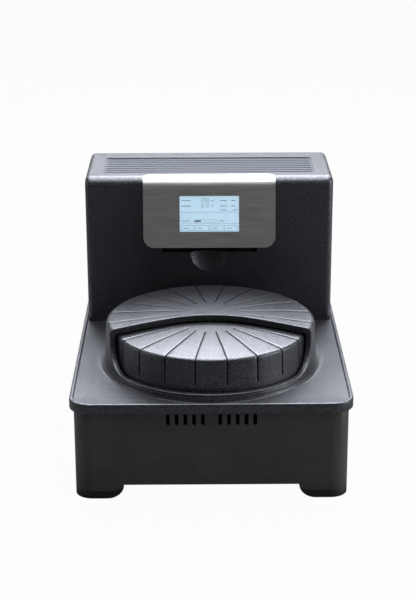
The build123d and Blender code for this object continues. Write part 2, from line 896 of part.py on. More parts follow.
def make_lid_pinion():
    """The pinion on its shaft, with a gap between two teeth facing the ring."""
    x, y = pinion_place()
    towards_ring = radians(90 + lid_drive_angle) + pi
    gear = extrude(gear_outline(lid_pinion_teeth, towards_ring + pi / lid_pinion_teeth), lid_ring_height)
    top = lid_bracket_top() - lid_bracket_sheet
    shaft = rod(lid_motor_shaft, top - lid_shaft_depth + slip, lid_ring_top, x, y)
    return Pos(x, y, lid_ring_low) * gear + shaft


def lid_bracket_top():
    return lid_ring_low - lid_bracket_drop


def make_lid_motor():
    """The small geared motor of the lid, hung under its bracket."""
    x, y = pinion_place()
    top = lid_bracket_top() - lid_bracket_sheet
    body = rod(lid_motor_radius, top - lid_gearbox_length, top, x, y)
    body += rod(lid_motor_rear_radius, top - lid_motor_length, top - lid_gearbox_length, x, y)
    return body - rod(lid_motor_shaft + running, top - lid_shaft_depth, top + 1, x, y)


def make_lid_bracket():
    """A bent sheet stand: a top plate on two side plates that reach the base floor."""
    x, y = pinion_place()
    half = lid_bracket_half
    sheet = lid_bracket_sheet
    top = lid_bracket_top()
    stand = block(x - half, x + half, y - half, y + half, top - sheet, top)
    for side in (-1, 1):
        edge = y + side * half
        inner = edge - side * sheet
        stand += block(x - half, x + half, min(edge, inner), max(edge, inner), floor_top, top)
    return stand - rod(lid_motor_shaft + slip, top - sheet - 1, top + 1, x, y)


def make_guide_shoes():
    """Plastic shoes on the chamber wall that carry and centre the lid ring."""
    inner = chamber_outer + seat
    outer = lid_ring_inner + shoe_reach
    shelf = lid_ring_low - slip
    lip = lid_ring_inner - slip
    high = lid_ring_top - shoe_drop
    rail = spin([(inner, shelf - shoe_height), (outer, shelf - shoe_height), (outer, shelf), (lip, shelf),
                 (lip, high), (inner, high)], mill_y)
    shoes = []
    for _, _, angle in around(shoe_count, 1.0, shoe_angle):
        wedge = block(0, 2 * lip_radius, -shoe_width / 2, shoe_width / 2, 0, hood_apex)
        shoes.append(rail & (Pos(0, mill_y, 0) * Rot(0, 0, angle) * wedge))
    return shoes


# ================================================================ chamber and main bearing
def post_places():
    return [(x, y + mill_y) for x, y, _ in around(post_count, post_circle, post_angle)]


def bearing_bolt_places():
    radius = (bearing_house_outer + bearing_house_flange) / 2
    return [(x, y + mill_y) for x, y, _ in around(bolt_count, radius)]


def sun_bolt_places():
    radius = (main_shaft_radius + sun_radius) / 2 + 1
    return [(x, y + mill_y) for x, y, _ in around(bolt_count, radius, post_angle)]


def make_chamber():
    """The cast milling chamber: a floor and a low wall round the rotor."""
    pot = rod(chamber_outer, chamber_floor_low, chamber_top, 0, mill_y)
    pot -= rod(chamber_inner, chamber_floor_top, chamber_top + 1, 0, mill_y)
    pot += rod(sun_radius, chamber_floor_top, sun_low, 0, mill_y)
    pot += tube(chamber_outer, chamber_inner, chamber_top, lid_ring_top, 0, mill_y)
    pot -= rod(main_bearing_outer, chamber_floor_low - 1, sun_low + 1, 0, mill_y)
    for x, y in post_places() + bearing_bolt_places() + sun_bolt_places():
        pot -= screw_hole(x, y, chamber_floor_low - 1, sun_low + 1)
    return pot


def make_chamber_posts():
    posts = []
    for x, y in post_places():
        post = rod(post_radius, floor_top, chamber_floor_low, x, y)
        posts.append(post - screw_hole(x, y, chamber_floor_low - post_thread, chamber_floor_low + 1))
    return posts


def make_chamber_bolts():
    """Screws down through the chamber floor into the posts and the bearing housing."""
    posts = [screw(x, y, chamber_floor_top, chamber_floor + post_screw_depth, up=False) for x, y in post_places()]
    housing = [screw(x, y, chamber_floor_low - bearing_house_flange_thickness,
                     bearing_house_flange_thickness + chamber_floor - seat) for x, y in bearing_bolt_places()]
    return posts + housing


def main_bearing_lows():
    low = chamber_floor_low - bearing_house_height
    return (low + bearing_inset, chamber_floor_low - main_bearing_width - bearing_inset)


def make_bearing_housing():
    """The flanged housing of the two main bearings, bolted under the chamber floor."""
    low = chamber_floor_low - bearing_house_height
    body = rod(bearing_house_outer, low, chamber_floor_low, 0, mill_y)
    flange_low = chamber_floor_low - bearing_house_flange_thickness
    body += rod(bearing_house_flange, flange_low, chamber_floor_low, 0, mill_y)
    body -= rod(main_shaft_radius + shaft_clearance, low - 1, chamber_floor_low + 1, 0, mill_y)
    lower, upper = main_bearing_lows()
    body -= rod(main_bearing_outer + running, low - 1, lower + main_bearing_width, 0, mill_y)
    body -= rod(main_bearing_outer + running, upper, chamber_floor_low + 1, 0, mill_y)
    for x, y in bearing_bolt_places():
        body -= screw_hole(x, y, low - 1, chamber_floor_low + 1)
    return body


def make_main_bearings():
    return [ball_bearing(main_bearing_outer, main_shaft_radius + running, low, main_bearing_width, 0, mill_y)
            for low in main_bearing_lows()]


def make_main_shaft():
    """The main shaft, from the driven pulley up into the rotor's hub, with its bolting flange."""
    shaft = rod(main_shaft_radius, main_pulley_low - shaft_overhang, rotor_low, 0, mill_y)
    bearing_low = chamber_floor_low - bearing_house_height
    shaft += rod(main_shaft_radius + shaft_shoulder, main_pulley_high, bearing_low, 0, mill_y)
    shaft += rod(rotor_hub_radius, sun_low + sun_height + slip, rotor_low, 0, mill_y)
    for x, y in rotor_bolt_places():
        shaft -= screw_hole(x, y, sun_low, rotor_low + 1)
    return shaft


def rotor_bolt_places():
    return [(x, y + mill_y) for x, y, _ in around(bolt_count, rotor_bolt_circle)]


def make_main_pulley():
    return pulley(main_pulley_radius, main_pulley_low, belt_width, pulley_cheek,
                  main_shaft_radius + seat, 0, mill_y)


def make_main_belt():
    low = main_pulley_low + pulley_cheek + slip
    return belt_loop(main_pulley_radius + slip, (0, mill_y), motor_pulley_radius + slip, (0, motor_y),
                     low, belt_width - 2 * slip, belt_thickness)


def make_sun_pulley():
    """The fixed pulley on the chamber floor that the planets' belts roll round."""
    body = rod(sun_radius, sun_low, sun_low + sun_height, 0, mill_y)
    body -= rod(main_shaft_radius + shaft_clearance, sun_low - 1, sun_low + sun_height + 1, 0, mill_y)
    for x, y in sun_bolt_places():
        body -= screw_hole(x, y, sun_low - 1, sun_low + sun_height + 1)
        body -= rod(screw_head_radius + seat, sun_low + sun_height - screw_head_height - seat,
                    sun_low + sun_height + 1, x, y)
    return body


def make_sun_bolts():
    head = sun_low + sun_height - screw_head_height - seat
    return [screw(x, y, head, head - chamber_floor_low - 1, up=False) for x, y in sun_bolt_places()]


def make_rotor():
    """The main disk: a heavy balanced casting with two pockets for the bowl holders."""
    disk = rod(rotor_radius, rotor_low, rotor_top, 0, mill_y)
    edges = disk.edges().group_by(Axis.Z)
    disk = fillet(edges[-1], rotor_edge_round)
    for side in (-1, 1):
        x = side * planet_circle
        disk -= rod(pocket_radius, rotor_floor_top, rotor_top + 1, x, mill_y)
        disk -= rod(planet_shaft_radius + shaft_clearance, rotor_low - 1, rotor_top, x, mill_y)
        disk -= rod(planet_bearing_outer + running, rotor_low - 1, rotor_low + planet_bearing_width, x, mill_y)
    for x, y in rotor_bolt_places():
        disk -= screw_hole(x, y, rotor_low - 1, rotor_top + 1)
        disk -= rod(screw_head_radius + seat, rotor_floor_top + screw_head_height, rotor_top + 1, x, y)
    return disk


def make_rotor_bolts():
    head = rotor_floor_top + screw_head_height
    return [screw(x, y, head, head - sun_low - sun_height - 2 * slip, up=False) for x, y in rotor_bolt_places()]


# ================================================================ planets
def planet_pulley_low(index):
    return sun_low + index * (planet_belt_width + planet_cheek + slip)


def make_planet_bearing(x):
    return ball_bearing(planet_bearing_outer, planet_shaft_radius + running, rotor_low, planet_bearing_width,
                        x, mill_y)


def make_planet_belt(x, index):
    low = planet_pulley_low(index) + planet_cheek + slip
    return belt_loop(sun_radius + slip, (0, mill_y), planet_pulley_radius + slip, (x, mill_y),
                     low, planet_belt_width - 2 * slip, belt_thickness)


def make_planet_pulley(x, index):
    return pulley(planet_pulley_radius, planet_pulley_low(index), planet_belt_width, planet_cheek,
                  planet_shaft_radius + seat, x, mill_y, overhang=belt_thickness)


def make_holder(x, index):
    """The turning cup that holds a bowl, with its shaft and two slotted ears for the clamp."""
    cup_top = holder_low + holder_height
    cup = rod(holder_radius, holder_low, cup_top, x, mill_y)
    cup -= rod(bowl_radius + bowl_play, holder_low + holder_floor, cup_top + 1, x, mill_y)
    cup += rod(planet_shaft_radius, planet_pulley_low(index), holder_low, x, mill_y)
    return cup + holder_ears(x, cup_top)


def holder_ears(x, low):
    """Two ears beside the bowl's lid, each with a slot that is open towards the clamp's turn."""
    slot_low = bowl_top + bowl_lid_height
    slot_high = slot_low + clamp_arm_thickness + 2 * slip
    opening = clamp_arm_width / 2 + slip
    half = opening + ear_bridge
    ears = tube(holder_radius, bowl_lid_radius + ear_play, low, slot_high + hook_thickness, x, mill_y)
    ears &= block(x - half, x + half, mill_y - holder_radius, mill_y + holder_radius, low,
                  slot_high + hook_thickness)
    for side in (-1, 1):
        ends = (x + side * opening, x - side * 2 * half)
        depths = (mill_y + side * bowl_radius, mill_y + side * 2 * holder_radius)
        ears -= block(min(ends), max(ends), min(depths), max(depths), slot_low, slot_high)
    return ears


def make_bowl(x):
    """A steel grinding bowl with a rounded inside."""
    cup = rod(bowl_radius, bowl_low, bowl_top, x, mill_y)
    cup = fillet(cup.edges().group_by(Axis.Z)[0], bowl_edge_round / 2)
    hollow = rod(bowl_radius - bowl_wall, bowl_low + bowl_floor, bowl_top + 1, x, mill_y)
    hollow = fillet(hollow.edges().group_by(Axis.Z)[0], bowl_edge_round)
    return cup - hollow


def make_bowl_lid(x):
    """The bowl's lid, with a plug that centres it and a shallow seat for the clamp."""
    lid = rod(bowl_lid_radius, bowl_top, bowl_top + bowl_lid_height, x, mill_y)
    lid = fillet(lid.edges().group_by(Axis.Z)[-1], bowl_lid_round)
    lid += rod(bowl_radius - bowl_wall - slip, bowl_top - bowl_lid_plug, bowl_top, x, mill_y)
    high = bowl_top + bowl_lid_height
    return lid - rod(clamp_radius + slip, high - clamp_seat_depth, high + 1, x, mill_y)


def make_balls(x):
    """Grinding balls at rest on the bowl's floor, one in the middle of a ring."""
    level = bowl_low + bowl_floor + ball_radius + seat
    ring = 2 * ball_radius + slip
    places = [(0, 0)] + [(px, py) for px, py, _ in around(ball_ring_count, ring)]
    return [Pos(x + px, mill_y + py, level) * Sphere(ball_radius) for px, py in places]


def make_clamp(x):
    """The bayonet clamp: a knob with two arms that turn into the slots of the holder's ears."""
    low = clamp_low
    lug = rod(clamp_radius, low - clamp_seat_depth, clamp_top, x, mill_y)
    lug = fillet(lug.edges().group_by(Axis.Z)[-1], clamp_round)
    for dx, dy, _ in around(clamp_flutes, clamp_radius + clamp_flute_offset):
        lug -= rod(clamp_flute_radius, low + clamp_arm_thickness, clamp_top + 1, x + dx, mill_y + dy)
    arm = Pos(x, mill_y, low) * Box(clamp_arm_width, 2 * clamp_arm_reach, clamp_arm_thickness,
                                    align=(Align.CENTER, Align.CENTER, Align.MIN))
    return lug + (arm & rod(clamp_arm_reach, low, low + clamp_arm_thickness, x, mill_y))


# ================================================================ drive motor
def make_motor_case():
    """The finned stator case with its two end covers, which hold the bearings."""
    case = rod(motor_radius, motor_low, motor_high, 0, motor_y)
    case -= rod(motor_radius - motor_wall, motor_low + motor_end_thickness, motor_high - motor_end_thickness, 0,
                motor_y)
    case -= rod(motor_shaft_radius + motor_shaft_play, motor_low - 1, motor_high + 1, 0, motor_y)
    for low in motor_bearing_lows():
        case -= rod(motor_bearing_outer + running, low, low + motor_bearing_width, 0, motor_y)
    gap = 2 * pi * motor_radius / motor_fin_count - motor_fin_width
    trough = block(motor_radius - motor_fin_depth, motor_radius + 1, -gap / 2, gap / 2,
                   motor_low + motor_end_thickness, motor_high - motor_end_thickness)
    for _, _, angle in around(motor_fin_count, 1.0):
        case -= Pos(0, motor_y, 0) * Rot(0, 0, angle) * trough
    return case


def motor_bearing_lows():
    return (motor_low + bearing_inset, motor_high - bearing_inset - motor_bearing_width)


def make_motor_bearings():
    return [ball_bearing(motor_bearing_outer, motor_shaft_radius + running, low, motor_bearing_width, 0, motor_y)
            for low in motor_bearing_lows()]


def make_motor_rotor():
    """The motor's rotor on its shaft, which reaches down to the small pulley."""
    margin = motor_end_thickness + motor_core_margin
    core = rod(motor_core_radius, motor_low + margin, motor_high - margin, 0, motor_y)
    return core + rod(motor_shaft_radius, main_pulley_low, motor_high - motor_shaft_inset, 0, motor_y)


def make_motor_pulley():
    return pulley(motor_pulley_radius, main_pulley_low, belt_width, pulley_cheek,
                  motor_shaft_radius + seat, 0, motor_y)


def motor_post_places():
    s = motor_post_spread
    return [(sx * s, motor_y + sy * s) for sx in (-1, 1) for sy in (-1, 1)]


def make_motor_plate():
    """The plate that the motor stands on, over the belt."""
    h = motor_plate_half
    plate = slab(2 * h, 2 * h, motor_plate_corner, motor_low - motor_plate_thickness, motor_low, 0, motor_y)
    plate -= rod(motor_shaft_radius + motor_plate_clearance, 0, motor_low + 1, 0, motor_y)
    for x, y in motor_post_places():
        plate -= screw_hole(x, y, 0, motor_low + 1)
    return plate


def make_motor_posts():
    posts = []
    top = motor_low - motor_plate_thickness
    for x, y in motor_post_places():
        posts.append(rod(post_radius, floor_top, top, x, y) - screw_hole(x, y, top - post_thread, top + 1))
    return posts


def make_motor_bolts():
    return [screw(x, y, motor_low, motor_plate_thickness + post_screw_depth, up=False) for x, y in motor_post_places()]


# ================================================================ tower
def tower_profile(gap):
    """The tower's side outline, moved inwards by a gap, with its two rounded upper edges."""
    front = tower_front + gap
    rear = tower_rear - gap
    top = tower_top - gap
    r_front = tower_front_round - gap
    r_rear = tower_rear_round - gap
    c = cos(pi / 4)
    x = -tower_width / 2 + gap
    low = deck_top - (1 if gap else 0)
    return Wire((
        Line((x, front, low), (x, front, top - r_front)),
        ThreePointArc((x, front, top - r_front), (x, front + r_front * (1 - c), top - r_front * (1 - c)),
                      (x, front + r_front, top)),
        Line((x, front + r_front, top), (x, rear - r_rear, top)),
        ThreePointArc((x, rear - r_rear, top), (x, rear - r_rear * (1 - c), top - r_rear * (1 - c)),
                      (x, rear, top - r_rear)),
        Line((x, rear, top - r_rear), (x, rear, low)),
        Line((x, rear, low), (x, front, low)),
    ))


def tower_solid(gap):
    """The tower's solid form, its side edges rounded, moved inwards by a gap."""
    width = tower_width - 2 * gap
    body = extrude(make_face(tower_profile(gap)), width, dir=(1, 0, 0))
    rounded = []
    for face in (body.faces().sort_by(Axis.X)[0], body.faces().sort_by(Axis.X)[-1]):
        rounded += [e for e in face.edges() if e.center().Z > deck_top + 2]
    return fillet(rounded, tower_side_round - gap)


def tower_screw_places():
    x = tower_width / 2 - tower_wall - tower_foot_width / 2
    ys = (tower_front + tower_screw_inset, (tower_front + tower_rear) / 2, tower_rear - tower_screw_inset)
    return [(side * x, y) for side in (-1, 1) for y in ys]


def make_tower():
    """The painted tower casing, open below and behind."""
    body = tower_solid(0) - tower_solid(tower_wall)
    body += tower_feet()
    body -= block(-grille_half - seat, grille_half + seat, grille_front - seat, grille_rear + seat,
                  tower_top - tower_wall - 1, tower_top + 1) & grille_prism(seat)
    body -= block(-rear_opening_half, rear_opening_half, tower_rear - tower_wall - 1, tower_rear + 1,
                  deck_top + rear_opening_low, deck_top + rear_opening_high)
    lap = rear_panel_lap + seat
    body -= block(-rear_opening_half - lap, rear_opening_half + lap, tower_rear - rear_panel_thickness,
                  tower_rear + 1, deck_top + rear_opening_low - lap, deck_top + rear_opening_high + lap)
    body -= block(-pocket_half, pocket_half, tower_front - 1, tower_front + tower_wall + 1,
                  pocket_low, pocket_high)
    body = body + scoop_dish() - scoop_ball(0)
    for x, y in tower_screw_places():
        body -= screw_hole(x, y, deck_top - 1, deck_top + tower_foot_height - 1)
    for x, z in rear_screw_places():
        body -= Pos(x, tower_rear, z) * Rot(90, 0, 0) * Cylinder(screw_radius + seat, 2 * rear_cut_depth)
    for x, y in fan_spacer_places():
        body -= screw_hole(x, y, tower_top - tower_wall - 1, tower_top - tower_wall + fan_screw_hole)
    return body


def tower_feet():
    """Bars along the tower's side walls that take the screws from below."""
    bars = Part()
    inner = tower_width / 2 - tower_wall - tower_foot_width
    for side in (-1, 1):
        x_low = min(side * inner, side * (tower_width / 2 - 1))
        x_high = max(side * inner, side * (tower_width / 2 - 1))
        bars += block(x_low, x_high, tower_front + tower_wall - 1, tower_rear - tower_wall - 1, deck_top,
                      deck_top + tower_foot_height)
    return bars


def scoop_center():
    """The centre of the ball whose cap is the finger dish."""
    ball = (scoop_radius ** 2 + scoop_depth ** 2) / (2 * scoop_depth)
    return ball, tower_front + scoop_depth - ball


def scoop_ball(wall):
    ball, y = scoop_center()
    return Pos(0, y, scoop_place) * Sphere(ball + wall)


def scoop_dish():
    """The wall behind the finger dish, below the panel's pocket."""
    low = scoop_place - scoop_radius - tower_wall
    zone = block(-2 * scoop_radius, 2 * scoop_radius, tower_front + scoop_inset, tower_front + 2 * pocket_depth,
                 low, pocket_low)
    return scoop_ball(tower_wall) & zone


def make_tower_screws():
    return [screw(x, y, deck_low, deck_thickness + tower_foot_height - 2) for x, y in tower_screw_places()]


def grille_prism(gap):
    depth = grille_rear - grille_front
    middle = (grille_front + grille_rear) / 2
    return slab(2 * (grille_half + gap), depth + 2 * gap, grille_corner + gap, tower_top - 2 * grille_depth,
                tower_top + 1, 0, middle)


def make_grille():
    """The air grille in the tower's top: a frame with slats and crossbars, held by tabs at its ends."""
    top = tower_top - grille_sink
    low = top - grille_depth
    middle = (grille_front + grille_rear) / 2
    depth = grille_rear - grille_front
    frame = slab(2 * grille_half, depth, grille_corner, low, top, 0, middle)
    inner_depth = depth - 2 * grille_frame
    frame -= slab(2 * (grille_half - grille_frame), inner_depth, grille_corner - grille_frame, low - 1, top + 1,
                  0, middle)
    pitch = inner_depth / slat_count
    for i in range(slat_count):
        y = middle - inner_depth / 2 + pitch * (i + 0.5)
        frame += block(-grille_half + 1, grille_half - 1, y - (pitch - slat_gap) / 2, y + (pitch - slat_gap) / 2,
                       top - slat_thickness, top - slat_sink)
    for x in (-grille_half / 2, 0, grille_half / 2):
        frame += block(x - slat_bar_width / 2, x + slat_bar_width / 2, grille_front + 1, grille_rear - 1,
                       low, top - slat_thickness + slat_bar_lap)
    for side in (-1, 1):
        edge = side * (grille_half - grille_frame / 2)
        end = side * (grille_half + grille_tab)
        frame += block(min(edge, end), max(edge, end), grille_front + grille_corner, grille_rear - grille_corner,
                       low, tower_top - tower_wall - seat)
    return frame


# ================================================================ control panel
def panel_bottom():
    return panel_top - panel_length


def panel_bend_center():
    """Centre of the panel's upper bend: its top is level and its face leans out below."""
    lean = radians(panel_lean)
    z = panel_top - panel_bend
    face_top = z + panel_bend * sin(lean)
    y = panel_bottom_y + (face_top - panel_bottom()) * tan(lean) + panel_bend * cos(lean)
    return y, z


def panel_rear():
    """The panel's rear edge, past the bend."""
    return panel_bend_center()[0] + panel_flat


def panel_face_y(height):
    """The front face's place at a height."""
    return panel_bottom_y + (height - panel_bottom()) * tan(radians(panel_lean))


def panel_profile(depth_in, rear_y):
    """The panel's side outline moved inwards by a depth, as points of the bend and the lean."""
    lean = radians(panel_lean)
    y, z = panel_bend_center()
    radius = panel_bend - depth_in
    steps = 10
    turn = pi / 2 - lean
    arc = []
    for i in range(steps + 1):
        a = turn * i / steps
        arc.append((y - radius * sin(a), z + radius * cos(a)))
    bottom = (panel_bottom_y + depth_in / cos(lean), panel_bottom())
    return [(rear_y, z + radius)] + arc + [bottom]


def panel_prism(half):
    """The bent sheet as a prism across the panel."""
    rear = panel_rear()
    outer = panel_profile(0, rear)
    inner = panel_profile(panel_sheet, rear)
    return side_prism(outer + inner[::-1], half)


def panel_outline():
    """The panel seen from the front: square above, with large rounded lower corners."""
    low = panel_bottom()
    high = panel_top + overrun
    sheet = Pos(0, 0, (low + high) / 2) * Rot(90, 0, 0) * Rectangle(2 * panel_half, high - low)
    prism = extrude(sheet, tower_rear, both=True)
    corners = [e for e in prism.edges() if e.center().Z < low + 0.1 and abs(abs(e.center().X) - panel_half) < 0.1]
    return fillet(corners, panel_bottom_corner)


def panel_top_outline():
    """The panel seen from above: rounded rear corners."""
    rear = panel_rear()
    depth = 2 * panel_half
    return slab(2 * panel_half, depth, panel_top_corner, panel_bottom() - 1, panel_top + 1, 0, rear - depth / 2)


def tilted(shape):
    """Put a shape drawn on the upright plane y=0, z=0 upwards onto the leaning face's foot."""
    return Pos(0, panel_bottom_y, panel_bottom()) * Rot(-panel_lean, 0, 0) * shape


def make_fascia():
    """The brushed metal front of the control panel, bent over the tower's upper edge."""
    sheet = panel_prism(panel_half) & panel_outline() & panel_top_outline()
    window = block(-screen_half, screen_half, -2, 2 * panel_sheet, screen_rise, screen_rise + screen_height)
    return sheet - tilted(window)


def make_screen_glass():
    """The touch glass, set flush in the fascia's window."""
    g = seat
    glass = block(-screen_half + g, screen_half - g, slip, slip + screen_thickness, screen_rise + g,
                  screen_rise + screen_height - g)
    return tilted(glass)


def make_display_module():
    """The display behind the glass."""
    low = slip + screen_thickness + seat
    half = screen_half - module_lip
    high = screen_rise + screen_height
    front = block(-half, half, low, panel_sheet + module_lip, screen_rise + module_lip, high - module_lip)
    half = screen_half + module_side_margin
    back = block(-half, half, panel_sheet + seat, panel_sheet + module_thickness,
                 screen_rise - module_end_margin, high + module_end_margin)
    return tilted(front + back)


def housing_back():
    return tower_front + tower_wall + pocket_depth - housing_back_gap - pocket_liner


def housing_solid(gap):
    """The back box of the panel: a wedge between the fascia and the tower's pocket."""
    low = panel_bottom() - housing_drop + gap
    high = pocket_high - housing_margin - gap
    inset = (panel_sheet + seat) / cos(radians(panel_lean))
    points = [(panel_face_y(low) + inset, low), (housing_back() - gap, low), (housing_back() - gap, high),
              (panel_face_y(high) + inset, high)]
    return side_prism(points, housing_half - gap)


def make_panel_housing():
    """The black plastic back box of the panel, open towards the fascia, with a finger arch."""
    body = housing_solid(0) - housing_solid(housing_wall)
    front = panel_bottom_y - overrun
    rear = panel_bottom_y + panel_sheet / cos(radians(panel_lean)) + seat
    low = panel_bottom() - overrun
    high = panel_bottom() + 1
    lean_cut = side_prism([(front, low), (rear, low), (rear, high), (front, high)], housing_half + 1)
    return body - lean_cut - scoop_ball(slip)


def make_control_board():
    """The panel's circuit board, behind the display."""
    low = panel_sheet + module_thickness + seat
    half = screen_half + board_side_margin
    board = block(-half, half, low, low + board_thickness, screen_rise - board_low_margin,
                  screen_rise + screen_height + board_high_margin)
    face = low + board_thickness
    chip_low = screen_rise + chip_rise
    chip = block(-chip_side / 2, chip_side / 2, face, face + chip_height, chip_low, chip_low + chip_side)
    w, h, d = plug_size
    plug = block(plug_x, plug_x + w, face, face + d, screen_rise - h / 2, screen_rise + h / 2)
    return tilted(board + chip + plug)


def make_panel_tray():
    """The black tray behind the panel, which lines the tower's pocket."""
    low = pocket_low
    high = pocket_high
    back = tower_front + tower_wall + pocket_depth
    lip = tower_front + tower_wall + seat
    outer = block(-pocket_half + seat, pocket_half - seat, tower_front + 1, back, low + seat, high - seat)
    rim = block(-pocket_half - tray_lip, pocket_half + tray_lip, lip, lip + pocket_liner, low + seat, high + 1)
    w = pocket_liner
    inner = block(-pocket_half + w, pocket_half - w, tower_front, back - w, low + w, high - w)
    return outer + rim - inner - scoop_ball(-slip)


def hinge_place():
    """The hinge line along the panel's rear edge, on the tower's top."""
    return panel_rear() + slip + hinge_rod_radius, tower_top + hinge_rod_radius


def make_hinge_rod():
    y, z = hinge_place()
    return Pos(0, y, z) * Rot(0, 90, 0) * Cylinder(hinge_rod_radius, hinge_length)


# ================================================================ fan
def fan_top():
    return tower_top - tower_wall - fan_spacer_height - fan_plate_thickness


def fan_spacer_places():
    return [(sx * fan_spacer_spread_x, fan_y + sy * fan_spacer_spread_y) for sx in (-1, 1) for sy in (-1, 1)]


def make_fan_screws():
    """Screws up through the fan's plate and spacers into the tower's top."""
    return [screw(x, y, fan_top(), fan_plate_thickness + fan_spacer_height + fan_screw_bite) for x, y in fan_spacer_places()]


def make_fan_housing():
    """The fan's square frame, its mounting plate with four spacers, and its hub seat on three struts."""
    low = fan_top() - fan_depth
    top = fan_top() + fan_plate_thickness
    frame = slab(2 * fan_half, 2 * fan_half, fan_corner, low, fan_top(), 0, fan_y)
    frame += slab(2 * fan_plate_half, 2 * fan_plate_half, fan_plate_corner, fan_top(), top, 0, fan_y)
    for x, y in fan_spacer_places():
        frame += rod(fan_spacer_radius, top, tower_top - tower_wall, x, y)
    frame -= rod(fan_bore, low - 1, top + 1, 0, fan_y)
    seat_top = low + fan_seat_thickness
    seat_plate = rod(fan_hub, low, seat_top, 0, fan_y)
    strut = block(0, fan_bore + 1, -fan_strut_width / 2, fan_strut_width / 2, low, seat_top)
    for _, _, angle in around(fan_strut_count, 1.0, 90.0):
        seat_plate += Pos(0, fan_y, 0) * Rot(0, 0, angle) * strut
    frame += seat_plate
    frame += rod(fan_pin_radius, seat_top, low + fan_depth / 2, 0, fan_y)
    for x, y in fan_spacer_places():
        frame -= screw_hole(x, y, low - 1, tower_top)
    return frame


def make_fan_impeller():
    """The fan wheel: a hub cup and pitched blades."""
    low = fan_top() - fan_depth
    seat_top = low + fan_seat_thickness
    hub = rod(fan_hub, seat_top + 2 * slip, fan_top() - 1, 0, fan_y)
    root = fan_hub - fan_blade_root
    blade = Pos(root, 0, 0) * Rot(fan_blade_pitch, 0, 0) * Box(
        fan_bore - fan_hub, fan_blade_thickness, fan_blade_height, align=(Align.MIN, Align.CENTER, Align.CENTER))
    middle = (seat_top + fan_top()) / 2
    blades = Part()
    for _, _, angle in around(fan_blade_count, 1.0):
        blades += Pos(0, fan_y, middle) * Rot(0, 0, angle) * blade
    wheel = hub + blades
    wheel &= rod(fan_bore - fan_tip_gap, seat_top + 1, fan_top() - 1, 0, fan_y)
    return wheel - rod(fan_pin_radius + running, low, low + fan_depth / 2 + 1, 0, fan_y)


# ================================================================ electronics
def make_shelf():
    """The folded sheet shelf over the motor; its sides stand on the deck."""
    low = deck_top
    shelf = block(-shelf_half, shelf_half, shelf_front, shelf_rear, shelf_top - shelf_sheet, shelf_top)
    for side in (-1, 1):
        a = side * shelf_half
        b = side * (shelf_half - shelf_sheet)
        shelf += block(min(a, b), max(a, b), shelf_front, shelf_rear, low, shelf_top)
    return shelf


def make_power_supply():
    """The switched power supply, a perforated sheet box."""
    w, d, h = supply_size
    middle = (shelf_front + shelf_rear) / 2
    body = block(supply_x - w / 2, supply_x + w / 2, middle - d / 2, middle + d / 2, shelf_top, shelf_top + h)
    hole = Cylinder(supply_hole_radius, 2 * supply_hole_depth)
    for i in range(supply_hole_columns):
        x = supply_x + supply_hole_pitch * (i - (supply_hole_columns - 1) / 2)
        for j in range(supply_hole_rows):
            y = middle + supply_hole_pitch * (j - (supply_hole_rows - 1) / 2)
            body -= Pos(x, y, shelf_top + h) * hole
    return body


def make_motor_drive():
    """The frequency converter that feeds the motor, with its finned cooler on top."""
    w, d, h = drive_size
    middle = (shelf_front + shelf_rear) / 2
    body = block(drive_x - w / 2, drive_x + w / 2, middle - d / 2, middle + d / 2, shelf_top, shelf_top + h)
    sink = fillet(body.edges().filter_by(Axis.Z), drive_corner)
    low = shelf_top + h
    half_w = w / 2 - heatsink_margin
    half_d = d / 2 - heatsink_margin
    sink += block(drive_x - half_w, drive_x + half_w, middle - half_d, middle + half_d, low, low + heatsink_base)
    half_fin = heatsink_fin_thickness / 2
    pitch = 2 * (half_w - half_fin) / (heatsink_fins - 1)
    for i in range(heatsink_fins):
        x = drive_x - half_w + half_fin + pitch * i
        sink += block(x - half_fin, x + half_fin, middle - half_d, middle + half_d, low, low + heatsink_fin_height)
    return sink


# ================================================================ rear connections
def rear_screw_places():
    z_low = deck_top + rear_opening_low - rear_panel_lap / 2
    z_high = deck_top + rear_opening_high + rear_panel_lap / 2
    z_mid = (z_low + z_high) / 2
    x = rear_opening_half + rear_panel_lap / 2
    return [(sx * x, z) for sx in (-1, 1) for z in (z_low, z_mid, z_high)] + [(0, z_low), (0, z_high)]


def rear_cut(x, half_width, half_height):
    z = deck_top + inlet_height
    return block(x - half_width, x + half_width, rear_face - overrun, rear_face + overrun,
                 z - half_height, z + half_height)


def make_rear_panel():
    """The sheet that closes the tower behind, with the cut-outs of the connections and air slots."""
    lap = rear_panel_lap
    y = rear_face - rear_panel_thickness
    panel = block(-rear_opening_half - lap, rear_opening_half + lap, y, rear_face,
                  deck_top + rear_opening_low - lap, deck_top + rear_opening_high + lap)
    panel -= rear_cut(inlet_x, inlet_half_width + seat, inlet_half_height + seat)
    panel -= rear_cut(switch_x, switch_half_width + seat, switch_half_height + seat)
    panel -= rear_cut(fuse_x, fuse_half_width + seat, fuse_half_height + seat)
    slot = extrude(SlotOverall(louvre_length, louvre_width), overrun, both=True)
    for row in range(louvre_rows):
        z = deck_top + rear_opening_high - louvre_drop - louvre_row_pitch * row
        for column in range(louvre_columns):
            x = louvre_column_pitch * (column - (louvre_columns - 1) / 2)
            panel -= Pos(x, rear_face, z) * Rot(90, 0, 0) * slot
    for x, z in rear_screw_places():
        panel -= Pos(x, rear_face, z) * Rot(90, 0, 0) * Cylinder(screw_radius + seat, 2 * overrun)
    return panel


def make_rear_screws():
    shank = Cylinder(screw_radius, rear_screw_length, align=(Align.CENTER, Align.CENTER, Align.MIN))
    head = Cylinder(screw_head_radius, screw_head_height, align=(Align.CENTER, Align.CENTER, Align.MAX))
    shape = shank + head
    return [Pos(x, rear_face, z) * Rot(90, 0, 0) * shape for x, z in rear_screw_places()]


